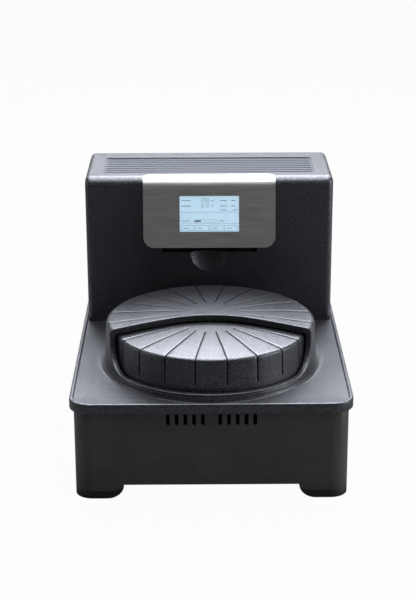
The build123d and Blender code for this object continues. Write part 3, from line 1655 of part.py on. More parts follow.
def make_mains_inlet():
    """The mains inlet: a three-bladed socket and, beside it, the sleeve of the fuse drawer."""
    z = deck_top + inlet_height
    front = rear_face + inlet_rim
    body = block(inlet_x - inlet_half_width, inlet_x + inlet_half_width, rear_face - inlet_depth, rear_face,
                 z - inlet_half_height, z + inlet_half_height)
    body += block(fuse_x - fuse_half_width, fuse_x + fuse_half_width,
                  rear_face - fuse_depth - fuse_sleeve_floor, rear_face, z - fuse_half_height, z + fuse_half_height)
    body += block(inlet_x - inlet_half_width - inlet_rim, fuse_x + fuse_half_width + inlet_rim, rear_face, front,
                  z - inlet_half_height - inlet_rim, z + inlet_half_height + inlet_rim)
    w = fuse_wall
    body -= block(fuse_x - fuse_half_width + w, fuse_x + fuse_half_width - w, rear_face - fuse_depth,
                  front + 1, z - fuse_half_height + w, z + fuse_half_height - w)
    floor = front - socket_depth
    body -= block(inlet_x - socket_half_width, inlet_x + socket_half_width, floor, front + 1,
                  z - socket_half_height, z + socket_half_height)
    blade_start = floor - socket_pin_lap
    half_t = socket_pin_thickness / 2
    half_h = socket_pin_height / 2
    for dx, dz in socket_pin_places:
        body += block(inlet_x + dx - half_t, inlet_x + dx + half_t, blade_start, blade_start + socket_pin_length,
                      z + dz - half_h, z + dz + half_h)
    return body


def make_switch_frame():
    """The mains switch's frame, hollow for the rocker."""
    z = deck_top + inlet_height
    rim = switch_rim
    body = block(switch_x - switch_half_width, switch_x + switch_half_width, rear_face - switch_depth, rear_face,
                 z - switch_half_height, z + switch_half_height)
    body += block(switch_x - switch_half_width - rim, switch_x + switch_half_width + rim, rear_face,
                  rear_face + rim, z - switch_half_height - rim, z + switch_half_height + rim)
    body -= block(switch_x - switch_half_width + rim, switch_x + switch_half_width - rim,
                  rear_face - switch_depth + switch_floor, rear_face + rim + 1,
                  z - switch_half_height + rim, z + switch_half_height - rim)
    pin = Cylinder(rocker_pin_radius, 2 * switch_half_width - 2)
    return body + Pos(switch_x, rocker_axis_y(), z) * Rot(0, 90, 0) * pin


def rocker_axis_y():
    return rear_face - rocker_axis_depth


def make_rocker():
    """The rocker, pressed to its off side; it tips about its pin to the on side."""
    z = deck_top + inlet_height
    half_w = switch_half_width - switch_rim - slip
    half_h = switch_half_height - switch_rim - rocker_end_gap
    front = rear_face + rocker_proud - rocker_axis_y()
    tip = front - half_h * tan(radians(rocker_tilt))
    points = [(-rocker_back, -rocker_back_half), (-rocker_back, rocker_back_half), (tip, half_h), (front, 0),
              (tip, -half_h)]
    body = side_prism(points, half_w)
    body -= Rot(0, 90, 0) * Cylinder(rocker_pin_radius + running, 4 * switch_half_width)
    return Pos(switch_x, rocker_axis_y(), z) * Rot(-rocker_tilt, 0, 0) * body


def make_fuse_drawer():
    """The drawer with its two fuses' troughs and a finger edge."""
    z = deck_top + inlet_height
    w = fuse_wall + slip
    front = rear_face + fuse_front_proud
    back = rear_face - fuse_depth + slip
    body = block(fuse_x - fuse_half_width + w, fuse_x + fuse_half_width - w, back, front,
                 z - fuse_half_height + w, z + fuse_half_height - w)
    near = rear_face - fuse_trough_wall
    far = rear_face - fuse_depth + fuse_trough_wall
    for low, high in ((-fuse_trough_high, -fuse_trough_low), (fuse_trough_low, fuse_trough_high)):
        body -= block(fuse_x - fuse_trough_wall, fuse_x + fuse_half_width, far, near, z + low, z + high)
    return body + block(fuse_x - fuse_grip_half, fuse_x + fuse_grip_half, front, front + fuse_grip_depth,
                        z + fuse_grip_low, z + fuse_grip_high)


# ================================================================ writing
def make_cap_screws():
    """All the cap screws of the fixed frame, one solid each."""
    return (make_foot_screws() + make_hood_screws() + make_chamber_bolts() + make_sun_bolts()
            + make_motor_bolts() + make_tower_screws() + make_rear_screws() + make_fan_screws())


def planet_parts(letter, x, index):
    """The nodes that turn with one planet."""
    return {
        f"bowl_holder_{letter}": make_holder(x, index),
        f"planet_pulley_{letter}": make_planet_pulley(x, index),
        f"grinding_bowl_{letter}": make_bowl(x),
        f"bowl_lid_{letter}": make_bowl_lid(x),
        f"grinding_balls_{letter}": make_balls(x),
        f"bowl_clamp_{letter}": make_clamp(x),
    }


def all_parts():
    """Every node's shape, or list of like shapes, by name."""
    planets = (-planet_circle, planet_circle)
    parts = {
        "rubber_feet": make_feet(),
        "base_casing": make_base_casing(),
        "base_plate": make_base_plate(),
        "deck": make_deck(),
        "hood": make_hood(),
        "lid_pivot_pin": make_pivot_pin(),
        "lid_shutter": make_shutter(),
        "lid_gear_ring": make_lid_ring(),
        "lid_pinion": make_lid_pinion(),
        "lid_gearmotor": make_lid_motor(),
        "lid_motor_bracket": make_lid_bracket(),
        "lid_guide_shoes": make_guide_shoes(),
        "chamber_casting": make_chamber(),
        "support_posts": make_chamber_posts() + make_motor_posts(),
        "main_bearing_housing": make_bearing_housing(),
        "shaft_bearings": make_main_bearings() + make_motor_bearings(),
        "main_shaft": make_main_shaft(),
        "main_pulley": make_main_pulley(),
        "main_belt": make_main_belt(),
        "sun_pulley": make_sun_pulley(),
        "main_disk": make_rotor(),
        "main_disk_bolts": make_rotor_bolts(),
        "planet_bearings": [make_planet_bearing(x) for x in planets],
        "planet_belts": [make_planet_belt(x, index) for index, x in enumerate(planets)],
        "motor_case": make_motor_case(),
        "motor_rotor": make_motor_rotor(),
        "motor_pulley": make_motor_pulley(),
        "motor_plate": make_motor_plate(),
        "tower_casing": make_tower(),
        "air_grille": make_grille(),
        "control_fascia": make_fascia(),
        "touch_glass": make_screen_glass(),
        "display_module": make_display_module(),
        "control_board": make_control_board(),
        "panel_back_box": make_panel_housing(),
        "panel_tray": make_panel_tray(),
        "panel_hinge_rod": make_hinge_rod(),
        "fan_housing": make_fan_housing(),
        "fan_impeller": make_fan_impeller(),
        "electronics_shelf": make_shelf(),
        "power_supply": make_power_supply(),
        "motor_drive": make_motor_drive(),
        "rear_panel": make_rear_panel(),
        "mains_inlet": make_mains_inlet(),
        "switch_frame": make_switch_frame(),
        "switch_rocker": make_rocker(),
        "fuse_drawer": make_fuse_drawer(),
        "cap_screws": make_cap_screws(),
    }
    for index, (letter, x) in enumerate(zip("ab", planets)):
        parts.update(planet_parts(letter, x, index))
    return parts


def main():
    os.makedirs("parts", exist_ok=True)
    for name, shape in all_parts().items():
        if isinstance(shape, list):
            shape = Compound(children=shape)
        export_step(shape, f"parts/{name}.step")


main()
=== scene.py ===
import bmesh
import bpy
import numpy as np
from mathutils import Matrix, Vector


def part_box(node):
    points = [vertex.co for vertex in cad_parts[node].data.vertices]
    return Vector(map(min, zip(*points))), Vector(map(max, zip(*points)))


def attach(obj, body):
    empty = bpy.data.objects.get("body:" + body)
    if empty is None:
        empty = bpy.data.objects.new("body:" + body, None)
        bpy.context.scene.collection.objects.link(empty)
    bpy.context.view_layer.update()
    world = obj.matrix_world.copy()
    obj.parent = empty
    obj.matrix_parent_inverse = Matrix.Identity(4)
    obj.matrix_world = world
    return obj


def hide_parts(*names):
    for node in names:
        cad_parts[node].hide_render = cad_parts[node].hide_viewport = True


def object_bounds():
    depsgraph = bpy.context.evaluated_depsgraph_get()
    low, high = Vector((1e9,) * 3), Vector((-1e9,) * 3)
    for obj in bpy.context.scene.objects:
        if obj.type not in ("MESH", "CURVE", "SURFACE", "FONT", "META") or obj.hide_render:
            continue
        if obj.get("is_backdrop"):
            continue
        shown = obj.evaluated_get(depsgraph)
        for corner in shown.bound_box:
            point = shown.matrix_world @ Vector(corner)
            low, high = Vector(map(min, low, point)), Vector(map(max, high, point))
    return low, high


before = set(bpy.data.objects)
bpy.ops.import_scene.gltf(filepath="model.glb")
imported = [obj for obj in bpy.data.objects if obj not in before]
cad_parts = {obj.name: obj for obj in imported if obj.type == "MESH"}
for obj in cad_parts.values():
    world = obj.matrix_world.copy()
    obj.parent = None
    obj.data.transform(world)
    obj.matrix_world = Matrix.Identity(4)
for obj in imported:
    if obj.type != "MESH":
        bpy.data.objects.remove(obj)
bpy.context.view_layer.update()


# ---- Camera, floor and lights
# The camera stands where the photograph was taken, 2.25 m in front of the mill's middle and one metre up.
# The mill stands on a pale floor before a white backdrop. A large soft box hangs high behind it and another
# above, with two weak ones at the sides.
mm = 0.001
camera_place = Vector((-0.0157, -2.2520, 0.9939))
camera_turn = 0.006969
camera_pitch = 0.33462
camera_roll = -0.0029
focal_pixels = 1553.1
picture_height = 600
sensor = 36.0
picture_shift = (-1.84 / picture_height, -2.24 / picture_height)


def srgb(text):
    """A hex colour as linear red, green, blue and alpha."""
    c = np.array([int(text[i:i + 2], 16) for i in (1, 3, 5)]) / 255
    linear = np.where(c <= 0.04045, c / 12.92, ((c + 0.055) / 1.055) ** 2.4)
    return (*linear.tolist(), 1.0)


def add(tree, kind, sockets=None, links=(), **settings):
    """Adds a node with its settings and socket values, and links (input, node, output) into it."""
    node = tree.nodes.new(kind)
    for key, value in settings.items():
        setattr(node, key, value)
    for key, value in (sockets or {}).items():
        node.inputs[key].default_value = value
    for socket, source, output in links:
        tree.links.new(source.outputs[output], node.inputs[socket])
    return node


camera = bpy.data.objects.new("camera", bpy.data.cameras.new("camera"))
bpy.context.scene.collection.objects.link(camera)
camera.location = camera_place
aim = Vector((np.sin(camera_turn) * np.cos(camera_pitch), np.cos(camera_turn) * np.cos(camera_pitch),
              -np.sin(camera_pitch)))
level = aim.to_track_quat("-Z", "Y").to_matrix()
camera.rotation_euler = (level @ Matrix.Rotation(camera_roll, 3, "Z")).to_euler()
camera.data.sensor_width = sensor
camera.data.lens = focal_pixels * sensor / picture_height
camera.data.shift_x, camera.data.shift_y = picture_shift
bpy.context.scene.camera = camera
bpy.context.scene.view_settings.view_transform = "Standard"

world = bpy.data.worlds.new("studio")
bpy.context.scene.world = world
world.use_nodes = True
room = world.node_tree
room.nodes.clear()
path = add(room, "ShaderNodeLightPath")
direction = add(room, "ShaderNodeTexCoord")
towards = add(room, "ShaderNodeSeparateXYZ", links=[("Vector", direction, "Generated")])
behind = add(room, "ShaderNodeMapRange", {"From Min": -0.25, "From Max": 0.25}, [("Value", towards, "Y")])
seen = add(room, "ShaderNodeMath", {}, [(0, path, "Is Camera Ray"), (1, path, "Is Transmission Ray")],
           operation="MAXIMUM")
mirrored = add(room, "ShaderNodeMath", {}, [(0, path, "Is Glossy Ray"), (1, behind, "Result")],
               operation="MULTIPLY")
low_sky = add(room, "ShaderNodeMapRange", {"From Min": 0.2, "From Max": 0.05, "To Min": 0.15},
              [("Value", towards, "Z")])
mirrored = add(room, "ShaderNodeMath", {}, [(0, mirrored, "Value"), (1, low_sky, "Result")],
               operation="MULTIPLY")
shown = add(room, "ShaderNodeMath", {}, [(0, seen, "Value"), (1, mirrored, "Value")], operation="MAXIMUM")
backdrop_light = add(room, "ShaderNodeBackground", {"Color": srgb("#ffffff"), "Strength": 1.0})
room_light = add(room, "ShaderNodeBackground", {"Color": srgb("#dfe3ec"), "Strength": 0.14})
mixed = add(room, "ShaderNodeMixShader", {}, [("Fac", shown, "Value"), (1, room_light, "Background"),
                                              (2, backdrop_light, "Background")])
add(room, "ShaderNodeOutputWorld", {}, [("Surface", mixed, "Shader")])

floor_size = 60.0
floor_mesh = bpy.data.meshes.new("floor")
corner = np.array([(-1, -1, 0), (1, -1, 0), (1, 1, 0), (-1, 1, 0)]) * floor_size / 2
floor_mesh.from_pydata(corner.tolist(), [], [(0, 1, 2, 3)])
floor = bpy.data.objects.new("floor", floor_mesh)
bpy.context.scene.collection.objects.link(floor)
floor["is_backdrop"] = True
paper = bpy.data.materials.new("white_paper")
paper.use_nodes = True
sheet = paper.node_tree
sheet.nodes.clear()
path = add(sheet, "ShaderNodeLightPath")
seen = add(sheet, "ShaderNodeMath", {}, [(0, path, "Is Camera Ray"), (1, path, "Is Transmission Ray")],
           operation="MAXIMUM")
share = add(sheet, "ShaderNodeMath", {1: 0.97}, [(0, seen, "Value")], operation="MULTIPLY")
matt = add(sheet, "ShaderNodeBsdfDiffuse", {"Color": srgb("#6c6c6c")})
bright = add(sheet, "ShaderNodeEmission", {"Color": srgb("#ffffff"), "Strength": 1.0})
mixed = add(sheet, "ShaderNodeMixShader", {}, [("Fac", share, "Value"), (1, matt, "BSDF"),
                                               (2, bright, "Emission")])
add(sheet, "ShaderNodeOutputMaterial", {}, [("Surface", mixed, "Shader")])
floor_mesh.materials.append(paper)


def soft_box(name, place, size, power, target=(0, 0, 0.2)):
    """A rectangular studio lamp that looks at a point and stays out of the camera's sight."""
    lamp = bpy.data.objects.new(name, bpy.data.lights.new(name, "AREA"))
    lamp.data.shape = "RECTANGLE"
    lamp.data.size, lamp.data.size_y = size
    lamp.data.energy = power
    lamp.data.color = srgb("#eef3ff")[:3]
    lamp.location = place
    lamp.rotation_euler = (Vector(target) - Vector(place)).to_track_quat("-Z", "Y").to_euler()
    lamp.visible_camera = False
    bpy.context.scene.collection.objects.link(lamp)


soft_box("box_behind", (0.15, 1.55, 1.95), (2.4, 1.3), 135.0)
soft_box("box_above", (0.1, 0.1, 2.6), (1.8, 1.8), 105.0)
soft_box("box_right", (2.2, -0.6, 0.8), (0.9, 1.6), 34.0)
soft_box("box_left", (-2.2, -0.3, 0.9), (0.9, 1.6), 6.0)


# ---- Rubber feet
# Four moulded rubber shoes that wrap the cast legs from below and are screwed through their wells.
def finish(name, shader):
    """A material whose principled shader has these socket values; returns it with its tree and shader."""
    made = bpy.data.materials.new(name)
    made.use_nodes = True
    tree = made.node_tree
    tree.nodes.clear()
    principled = add(tree, "ShaderNodeBsdfPrincipled", shader)
    add(tree, "ShaderNodeOutputMaterial", {}, [("Surface", principled, "BSDF")])
    return made, tree, principled


def mottle(tree, size, detail=2.0, stretch=(1, 1, 1), centre=(0, 0, 0)):
    """Noise whose blotches are about a given size in millimetres, stretched along the axes."""
    place = add(tree, "ShaderNodeTexCoord")
    spot = add(tree, "ShaderNodeMapping", {"Location": Vector(centre), "Scale": Vector(stretch)},
               [("Vector", place, "Object")])
    return add(tree, "ShaderNodeTexNoise", {"Scale": 1 / (size * mm), "Detail": detail},
               [("Vector", spot, "Vector")])


def vary(tree, shader, pattern, dark, light, output="Fac"):
    """Lets a pattern carry the base colour from a dark tone to a light one."""
    ramp = add(tree, "ShaderNodeValToRGB", {}, [("Fac", pattern, output)])
    ramp.color_ramp.elements[0].position, ramp.color_ramp.elements[1].position = 0.35, 0.65
    ramp.color_ramp.elements[0].color, ramp.color_ramp.elements[1].color = srgb(dark), srgb(light)
    tree.links.new(ramp.outputs["Color"], shader.inputs["Base Color"])


def polish(tree, shader, pattern, smooth, rough, output="Fac"):
    """Lets a pattern carry the roughness between two values."""
    worn = add(tree, "ShaderNodeMapRange",
               {"From Min": 0.3, "From Max": 0.7, "To Min": smooth, "To Max": rough},
               [("Value", pattern, output)])
    tree.links.new(worn.outputs["Result"], shader.inputs["Roughness"])


def relief(tree, shader, pattern, height, strength=1.0, output="Fac"):
    """Raises a pattern by a height in millimetres."""
    bump = add(tree, "ShaderNodeBump", {"Strength": strength, "Distance": height * mm},
               [("Height", pattern, output)])
    tree.links.new(bump.outputs["Normal"], shader.inputs["Normal"])


def wear(material, *nodes):
    """Gives CAD nodes their material."""
    for node in nodes:
        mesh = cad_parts[node].data
        mesh.materials.clear()
        mesh.materials.append(material)


def around(*points):
    """Grid of points in millimetres from rows of x, y and z arrays, row by row."""
    return np.stack([np.stack(np.broadcast_arrays(*p), -1) for p in points]).astype(float)


def skin(name, material, *grids, body=None, stands_for=(), slot="shell_paint", sunk=None):
    """One mesh from grids of points in millimetres, each (rows, columns, 3), stitched where they meet.

    Each grid becomes one quadrilateral per cell; faces turn outwards and edges past 35 degrees stay sharp.
    The first grid's points can carry how deep they lie in a groove, from 0 to 1, as the attribute groove."""
    points, faces, start = [], [], 0
    for grid in grids:
        rows, columns, _ = grid.shape
        index = start + np.arange(rows * columns).reshape(rows, columns)
        cells = np.stack([index[:-1, :-1], index[:-1, 1:], index[1:, 1:], index[1:, :-1]], -1)
        points.append(grid.reshape(-1, 3))
        faces.append(cells.reshape(-1, 4))
        start += rows * columns
    mesh = bpy.data.meshes.new(name)
    mesh.from_pydata((np.concatenate(points) * mm).tolist(), [], np.concatenate(faces).tolist())
    if sunk is not None:
        depth = np.zeros(start)
        depth[:sunk.size] = sunk.ravel()
        mesh.attributes.new("groove", "FLOAT", "POINT").data.foreach_set("value", depth)
    work = bmesh.new()
    work.from_mesh(mesh)
    bmesh.ops.remove_doubles(work, verts=work.verts, dist=0.002 * mm)
    bmesh.ops.dissolve_degenerate(work, edges=work.edges, dist=0.001 * mm)
    bmesh.ops.recalc_face_normals(work, faces=work.faces)
    work.to_mesh(mesh)
    work.free()
    mesh.shade_smooth()
    mesh.set_sharp_from_angle(angle=np.radians(35.0))
    mesh.materials.append(material)
    piece = bpy.data.objects.new(name, mesh)
    bpy.context.scene.collection.objects.link(piece)
    if body:
        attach(piece, body)
    if stands_for:
        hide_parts(*stands_for)
    return piece


def ease(width, *nodes):
    """Rounds the edges of CAD nodes by a width in millimetres: the joined mesh gets a fine bevel."""
    for node in nodes:
        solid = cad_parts[node]
        join = solid.modifiers.new("join", "WELD")
        join.merge_threshold = 0.001 * mm
        bevel = solid.modifiers.new("ease", "BEVEL")
        bevel.width = width * mm
        bevel.segments = 2
        bevel.limit_method = "ANGLE"
        bevel.angle_limit = np.radians(40)
        bevel.harden_normals = True


# Moulded rubber: matt black with a faint grey bloom, no visible grain from a step away.
moulded_rubber, tree, shader = finish("moulded_rubber", {"Roughness": 0.62, "IOR": 1.52})
bloom = mottle(tree, 9.0)
vary(tree, shader, bloom, "#0d0d0c", "#161513")
relief(tree, shader, mottle(tree, 0.9), 0.03)
wear(moulded_rubber, "rubber_feet")
ease(0.8, "rubber_feet")


# ---- Base box
# A welded steel box on four cast legs with air slots in its front wall, painted a smooth olive grey.
# A galvanised floor plate lies on the legs and carries the machine.
olive_enamel, tree, shader = finish("olive_grey_enamel", {"Roughness": 0.42, "IOR": 1.45,
                                                          "Specular IOR Level": 0.35})
vary(tree, shader, mottle(tree, 40.0), "#41413a", "#49493e")
relief(tree, shader, mottle(tree, 1.6), 0.02)
wear(olive_enamel, "base_casing")
ease(0.7, "base_casing")

# Galvanised sheet: zinc crystals some 8 mm across, each with its own brightness.
galvanised_sheet, tree, shader = finish("galvanised_sheet", {"Metallic": 1.0, "Roughness": 0.42})
place = add(tree, "ShaderNodeTexCoord")
spangle = add(tree, "ShaderNodeTexVoronoi", {"Scale": 1 / (8 * mm)}, [("Vector", place, "Object")])
vary(tree, shader, spangle, "#8d9092", "#b4b7b8", output="Distance")
polish(tree, shader, spangle, 0.34, 0.5, output="Distance")
wear(galvanised_sheet, "base_plate", "lid_motor_bracket", "electronics_shelf", "power_supply")


# ---- Chamber, bearings and belt drive
# A cast aluminium pot on steel posts, with the flanged bearing housing below it and flat belts on turned
# pulleys.
cast_aluminium, tree, shader = finish("cast_aluminium", {"Metallic": 1.0, "Roughness": 0.45})
grit = mottle(tree, 1.2, 4.0)
vary(tree, shader, grit, "#8b8d8f", "#a4a6a8")
polish(tree, shader, grit, 0.38, 0.55)
relief(tree, shader, grit, 0.06)
wear(cast_aluminium, "chamber_casting", "main_bearing_housing", "sun_pulley", "main_pulley", "motor_pulley",
     "planet_pulley_a", "planet_pulley_b")


def lathe_rings(tree, centre, pitch):
    """Fine rings round an upright axis, as a lathe tool leaves them, at a pitch in millimetres."""
    place = add(tree, "ShaderNodeTexCoord")
    spot = add(tree, "ShaderNodeMapping", {"Location": Vector((-centre[0], -centre[1], 0)),
                                           "Scale": Vector((1, 1, 0.35))}, [("Vector", place, "Object")])
    return add(tree, "ShaderNodeTexWave", {"Scale": 0.314 / (pitch * mm), "Distortion": 0.6, "Detail": 1.0},
               [("Vector", spot, "Vector")], wave_type="RINGS", rings_direction="Z")


def turned_steel(name, centre, dark, light, smooth, rough):
    """Steel turned on a lathe: bright, with rings that are drawn 1.5 mm apart so that they show."""
    steel, tree, shader = finish(name, {"Metallic": 1.0, "Roughness": smooth})
    rings = lathe_rings(tree, centre, 1.5)
    vary(tree, shader, rings, dark, light)
    polish(tree, shader, rings, smooth, rough)
    relief(tree, shader, rings, 0.02)
    return steel


mill_y = sum(v.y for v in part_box("main_shaft")) / 2
shaft_steel = turned_steel("turned_shaft_steel", (0, mill_y), "#8e8f91", "#a9aaac", 0.3, 0.42)
wear(shaft_steel, "main_shaft", "motor_rotor", "lid_pinion", "support_posts", "motor_plate", "lid_pivot_pin",
     "main_disk_bolts", "panel_hinge_rod", "cap_screws")

# Ground bearing steel: mirror-bright races.
bearing_steel, tree, shader = finish("ground_bearing_steel", {"Metallic": 1.0, "Roughness": 0.14})
vary(tree, shader, mottle(tree, 5.0), "#b4b5b8", "#c6c7c9")
wear(bearing_steel, "shaft_bearings", "planet_bearings", "grinding_balls_a", "grinding_balls_b")

# Reinforced belt rubber: dull black with a woven back.
belt_rubber, tree, shader = finish("belt_rubber", {"Roughness": 0.7})
weave = mottle(tree, 0.8, 1.0, (1, 1, 3))
vary(tree, shader, weave, "#0e0e0f", "#1c1c1e")
relief(tree, shader, weave, 0.05)
wear(belt_rubber, "main_belt", "planet_belts")


# ---- Rotor, bowl holders and bowls
# The main disk is a machined casting; each of its two pockets holds a steel cup with a polished stainless
# bowl.
disk_metal = turned_steel("faced_cast_aluminium", (0, mill_y), "#8f9193", "#a3a5a7", 0.34, 0.46)
wear(disk_metal, "main_disk")
for letter in "ab":
    low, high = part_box(f"grinding_bowl_{letter}")
    axis = ((low.x + high.x) / 2, (low.y + high.y) / 2)
    stainless = turned_steel(f"polished_stainless_{letter}", axis, "#a6a7a9", "#c0c1c3", 0.16, 0.27)
    wear(stainless, f"grinding_bowl_{letter}", f"bowl_lid_{letter}")
    holder_steel = turned_steel(f"turned_steel_{letter}", axis, "#7c7d80", "#939497", 0.3, 0.42)
    wear(holder_steel, f"bowl_holder_{letter}", f"bowl_clamp_{letter}")


# ---- Drive motor and lid drive
# A finned motor in blue-grey enamel stands on its plate; a small geared motor turns the lid's toothed ring.
motor_enamel, tree, shader = finish("motor_enamel", {"Roughness": 0.45, "IOR": 1.5})
vary(tree, shader, mottle(tree, 30.0), "#2c3440", "#343d4a")
relief(tree, shader, mottle(tree, 1.5), 0.03)
wear(motor_enamel, "motor_case", "lid_gearmotor")

# Natural acetal: waxy white plastic that slides without grease.
natural_acetal, tree, shader = finish("natural_acetal", {"Roughness": 0.38, "IOR": 1.48,
                                                         "Subsurface Weight": 0.15})
vary(tree, shader, mottle(tree, 6.0), "#cfcabb", "#dad6c9")
wear(natural_acetal, "lid_guide_shoes", "lid_gear_ring")


# ---- Deck
# One painted aluminium casting that lies on the base box and carries the tower: a plate with a raised rim and
# a hanging skirt, and a collar whose foot sweeps out into the plate, narrow in front and wide at the rear.
# Fine-textured powder paint with metal flakes: near black from the front and pale where light grazes it. Its
# grain is about 0.4 mm across and is drawn at 1.6 mm so that it shows.
grain_shown = 1.6
textured_paint, tree, shader = finish("textured_metallic_powder", {"Roughness": 0.4, "IOR": 1.5})
grain = mottle(tree, grain_shown, 3.0)
vary(tree, shader, grain, "#141416", "#232327")
glint = add(tree, "ShaderNodeMapRange", {"From Min": 0.4, "From Max": 0.62, "To Min": 0.45, "To Max": 1.3},
            [("Value", grain, "Fac")])
# The grooves' floors are drawn with little of the paint's sheen, a painted shade that makes them show as dark
# lines.
groove = add(tree, "ShaderNodeAttribute", attribute_name="groove")
painted_groove_shade = add(tree, "ShaderNodeMapRange", {"To Min": 1.0, "To Max": 0.05}, [("Value", groove, "Fac")])
sheen = add(tree, "ShaderNodeMath", {}, [(0, glint, "Result"), (1, painted_groove_shade, "Result")], operation="MULTIPLY")
tree.links.new(sheen.outputs["Value"], shader.inputs["Specular IOR Level"])
polish(tree, shader, grain, 0.34, 0.44)
relief(tree, shader, grain, 0.36)

deck_half = (200.0, 266.0)
deck_corner = 31.0
deck_under, deck_face = 142.0, 145.5
lip_outside, sweep_start = 156.0, 153.6
window_half, window_near, window_far = 120.0, 82.3, 249.0


def to_outline(turn, inset):
    """Distance from the mill's axis, at an angle, to the deck's rounded outline moved inwards by an inset."""
    dx, dy = np.cos(turn), np.sin(turn)
    a, b, r = deck_half[0] - inset, deck_half[1] - inset, deck_corner - inset
    across = a / np.maximum(abs(dx), 1e-9)
    along = (np.sign(dy) * b - axis_y) / np.where(abs(dy) < 1e-9, 1e-9, dy)
    straight = np.minimum(across, np.where(along > 0, along, 1e9))
    px, py = np.sign(dx) * (a - r), np.sign(axis_y + straight * dy) * (b - r) - axis_y
    towards = px * dx + py * dy
    bend = towards + np.sqrt(np.maximum(towards ** 2 - px ** 2 - py ** 2 + r ** 2, 0))
    in_corner = (abs(straight * dx) > a - r) & (abs(axis_y + straight * dy) > b - r)
    return np.where(in_corner, bend, straight)


def lesser(a, b, blend=3.0):
    """The smaller of two arrays, with a rounded passage between them."""
    return -blend * np.log(np.exp(-a / blend) + np.exp(-b / blend))


axis_y = -102.0
window_turn = np.arctan2(window_near - axis_y, window_half)
window_end = np.arctan2(window_far - axis_y, window_half)
turns = np.radians(np.arange(-90, 270, 1.5))
bends = np.radians(np.concatenate([np.arange(-46, -32, 0.75), np.arange(58, 67, 0.6)]))
turns = np.concatenate([turns, bends, np.pi - bends, [window_turn, np.pi - window_turn, window_end,
                                                      np.pi - window_end]])
turns = np.unique(np.round((turns + np.pi / 2) % (2 * np.pi), 5))
turns = np.append(turns, 2 * np.pi) - np.pi / 2
sine = np.sin(turns)
reach = 2 + 25 * ((sine + 1) / 1.309) ** 3
foot = lip_outside + lesser(reach, np.full_like(turns, 34.0))
foot = np.minimum(foot, 179 / np.maximum(sine, 0.01))
foot = np.minimum(foot, to_outline(turns, 6.6) - 0.4)
rim_foot = to_outline(turns, 6.5)
near = (window_near - axis_y) / np.maximum(sine, 0.01)
far = np.minimum((window_far - axis_y) / np.maximum(sine, 0.01),
                 window_half / np.maximum(abs(np.cos(turns)), 1e-9))
corner = np.hypot(window_half, window_near - axis_y)
share = (corner - np.interp(window_turn, turns, foot)) / (
    np.interp(window_turn, turns, rim_foot) - np.interp(window_turn, turns, foot))
plain = foot + share * (rim_foot - foot)
over_window = (turns > window_turn - 1e-4) & (turns < np.pi - window_turn + 1e-4)
near, far = np.where(over_window, near, plain), np.where(over_window, far, plain)


def polar(distance, height):
    """Points round the mill's axis at a distance and a height for each angle."""
    return np.cos(turns) * distance, axis_y + np.sin(turns) * distance, np.full_like(turns, height)


rim_profile = [(6.5, 145.5), (6.2, 145.55), (5.7, 145.9), (5.3, 146.4), (4.9, 146.8), (4.3, 147.0),
               (2.2, 147.0), (1.4, 146.85), (0.7, 146.4), (0.2, 145.7), (0.0, 144.8), (0.0, 133.0),
               (0.3, 132.3), (1.0, 132.0), (5.2, 132.0), (5.9, 132.5), (5.9, 142.0)]
outer_rows = [polar(far, deck_face)] + [polar(to_outline(turns, d), z) for d, z in rim_profile]
outer_rows += [polar(far, deck_under)]
lip_profile = [(147.5, 142.0), (147.5, 154.3), (147.8, 155.0), (148.6, 155.5), (153.6, 155.5), (154.8, 155.2),
               (155.6, 154.5)]
sweep = np.linspace(0, np.pi / 2, 14)
inner_rows = [polar(near, deck_under)] + [polar(np.full_like(turns, r), z) for r, z in lip_profile]
inner_rows += [polar(lip_outside + (foot - lip_outside) * (1 - np.cos(t)),
                     sweep_start - (sweep_start - deck_face) * np.sin(t)) for t in sweep]
inner_rows += [polar(near, deck_face)]
sides = [around(polar(edge, deck_under), polar(edge, deck_face))[:, over_window] for edge in (near, far)]
skin("deck_casting", textured_paint, around(*outer_rows), around(*inner_rows), *sides, body="housing",
     stands_for=["deck"])


# ---- Hood and shutter
# The lid is a fixed domed cap with a wide mouth, screwed to the collar, and a smaller cap that turns under it
# on a toothed ring. Both are painted castings with radial grooves, and the mouth has a thick flange.
dome_radius = 1350.0
shutter_apex, hood_apex = 211.8, 223.7
collar_seat = 155.6
flange_deep, flange_low_deep = 9.5, 8.4


def cap_profile(apex, shoulder, foot_radius, foot_height, rounding, radii, heights):
    """Radius and height of a cap: a shallow dome at given radii, its shoulder and a wall at given heights."""
    edge = apex - dome_radius + np.sqrt(dome_radius ** 2 - shoulder ** 2)
    taper = (foot_radius - shoulder) / (edge - foot_height)
    centre = (shoulder - rounding * (1 - taper), edge - rounding * (1 - shoulder / dome_radius))
    turn = np.linspace(shoulder / dome_radius, np.pi / 2 - np.arctan(taper), 9)
    bend = np.stack([centre[0] + rounding * np.sin(turn), centre[1] + rounding * np.cos(turn)])
    radii, heights = np.array(radii, float), np.array(heights, float)
    radii = radii[radii < bend[0, 0] - 0.5]
    heights = heights[heights < bend[1, -1] - 0.3]
    top = np.stack([radii, apex - dome_radius + np.sqrt(dome_radius ** 2 - radii ** 2)])
    wall = np.stack([shoulder + taper * (edge - heights), heights])
    return np.concatenate([top, bend, wall], 1)


def groove_columns(first, last, grooves):
    """Angles of a cap's columns at each radius, and how far each column lies in a groove, from 0 to 1.

    A groove has seven columns at fixed distances from its middle, and the spaces between hold even ones."""
    first, last, spread = first[0], last[0], groove_spread(first[1])
    columns, sunk, edge = [first], [0.0], first
    for middle in grooves:
        columns += [edge + (middle - spread - edge) * k / 8 for k in range(1, 8)]
        columns += [middle + spread * across for across in (-1, -0.7, -0.5, 0, 0.5, 0.7, 1)]
        sunk += [0] * 7 + [0, 0.12, 1, 1, 1, 0.12, 0]
        edge = middle + spread
    columns += [edge + (last - edge) * k / 8 for k in range(1, 9)]
    return np.stack(np.broadcast_arrays(*columns), 1), np.array(sunk + [0] * 8)


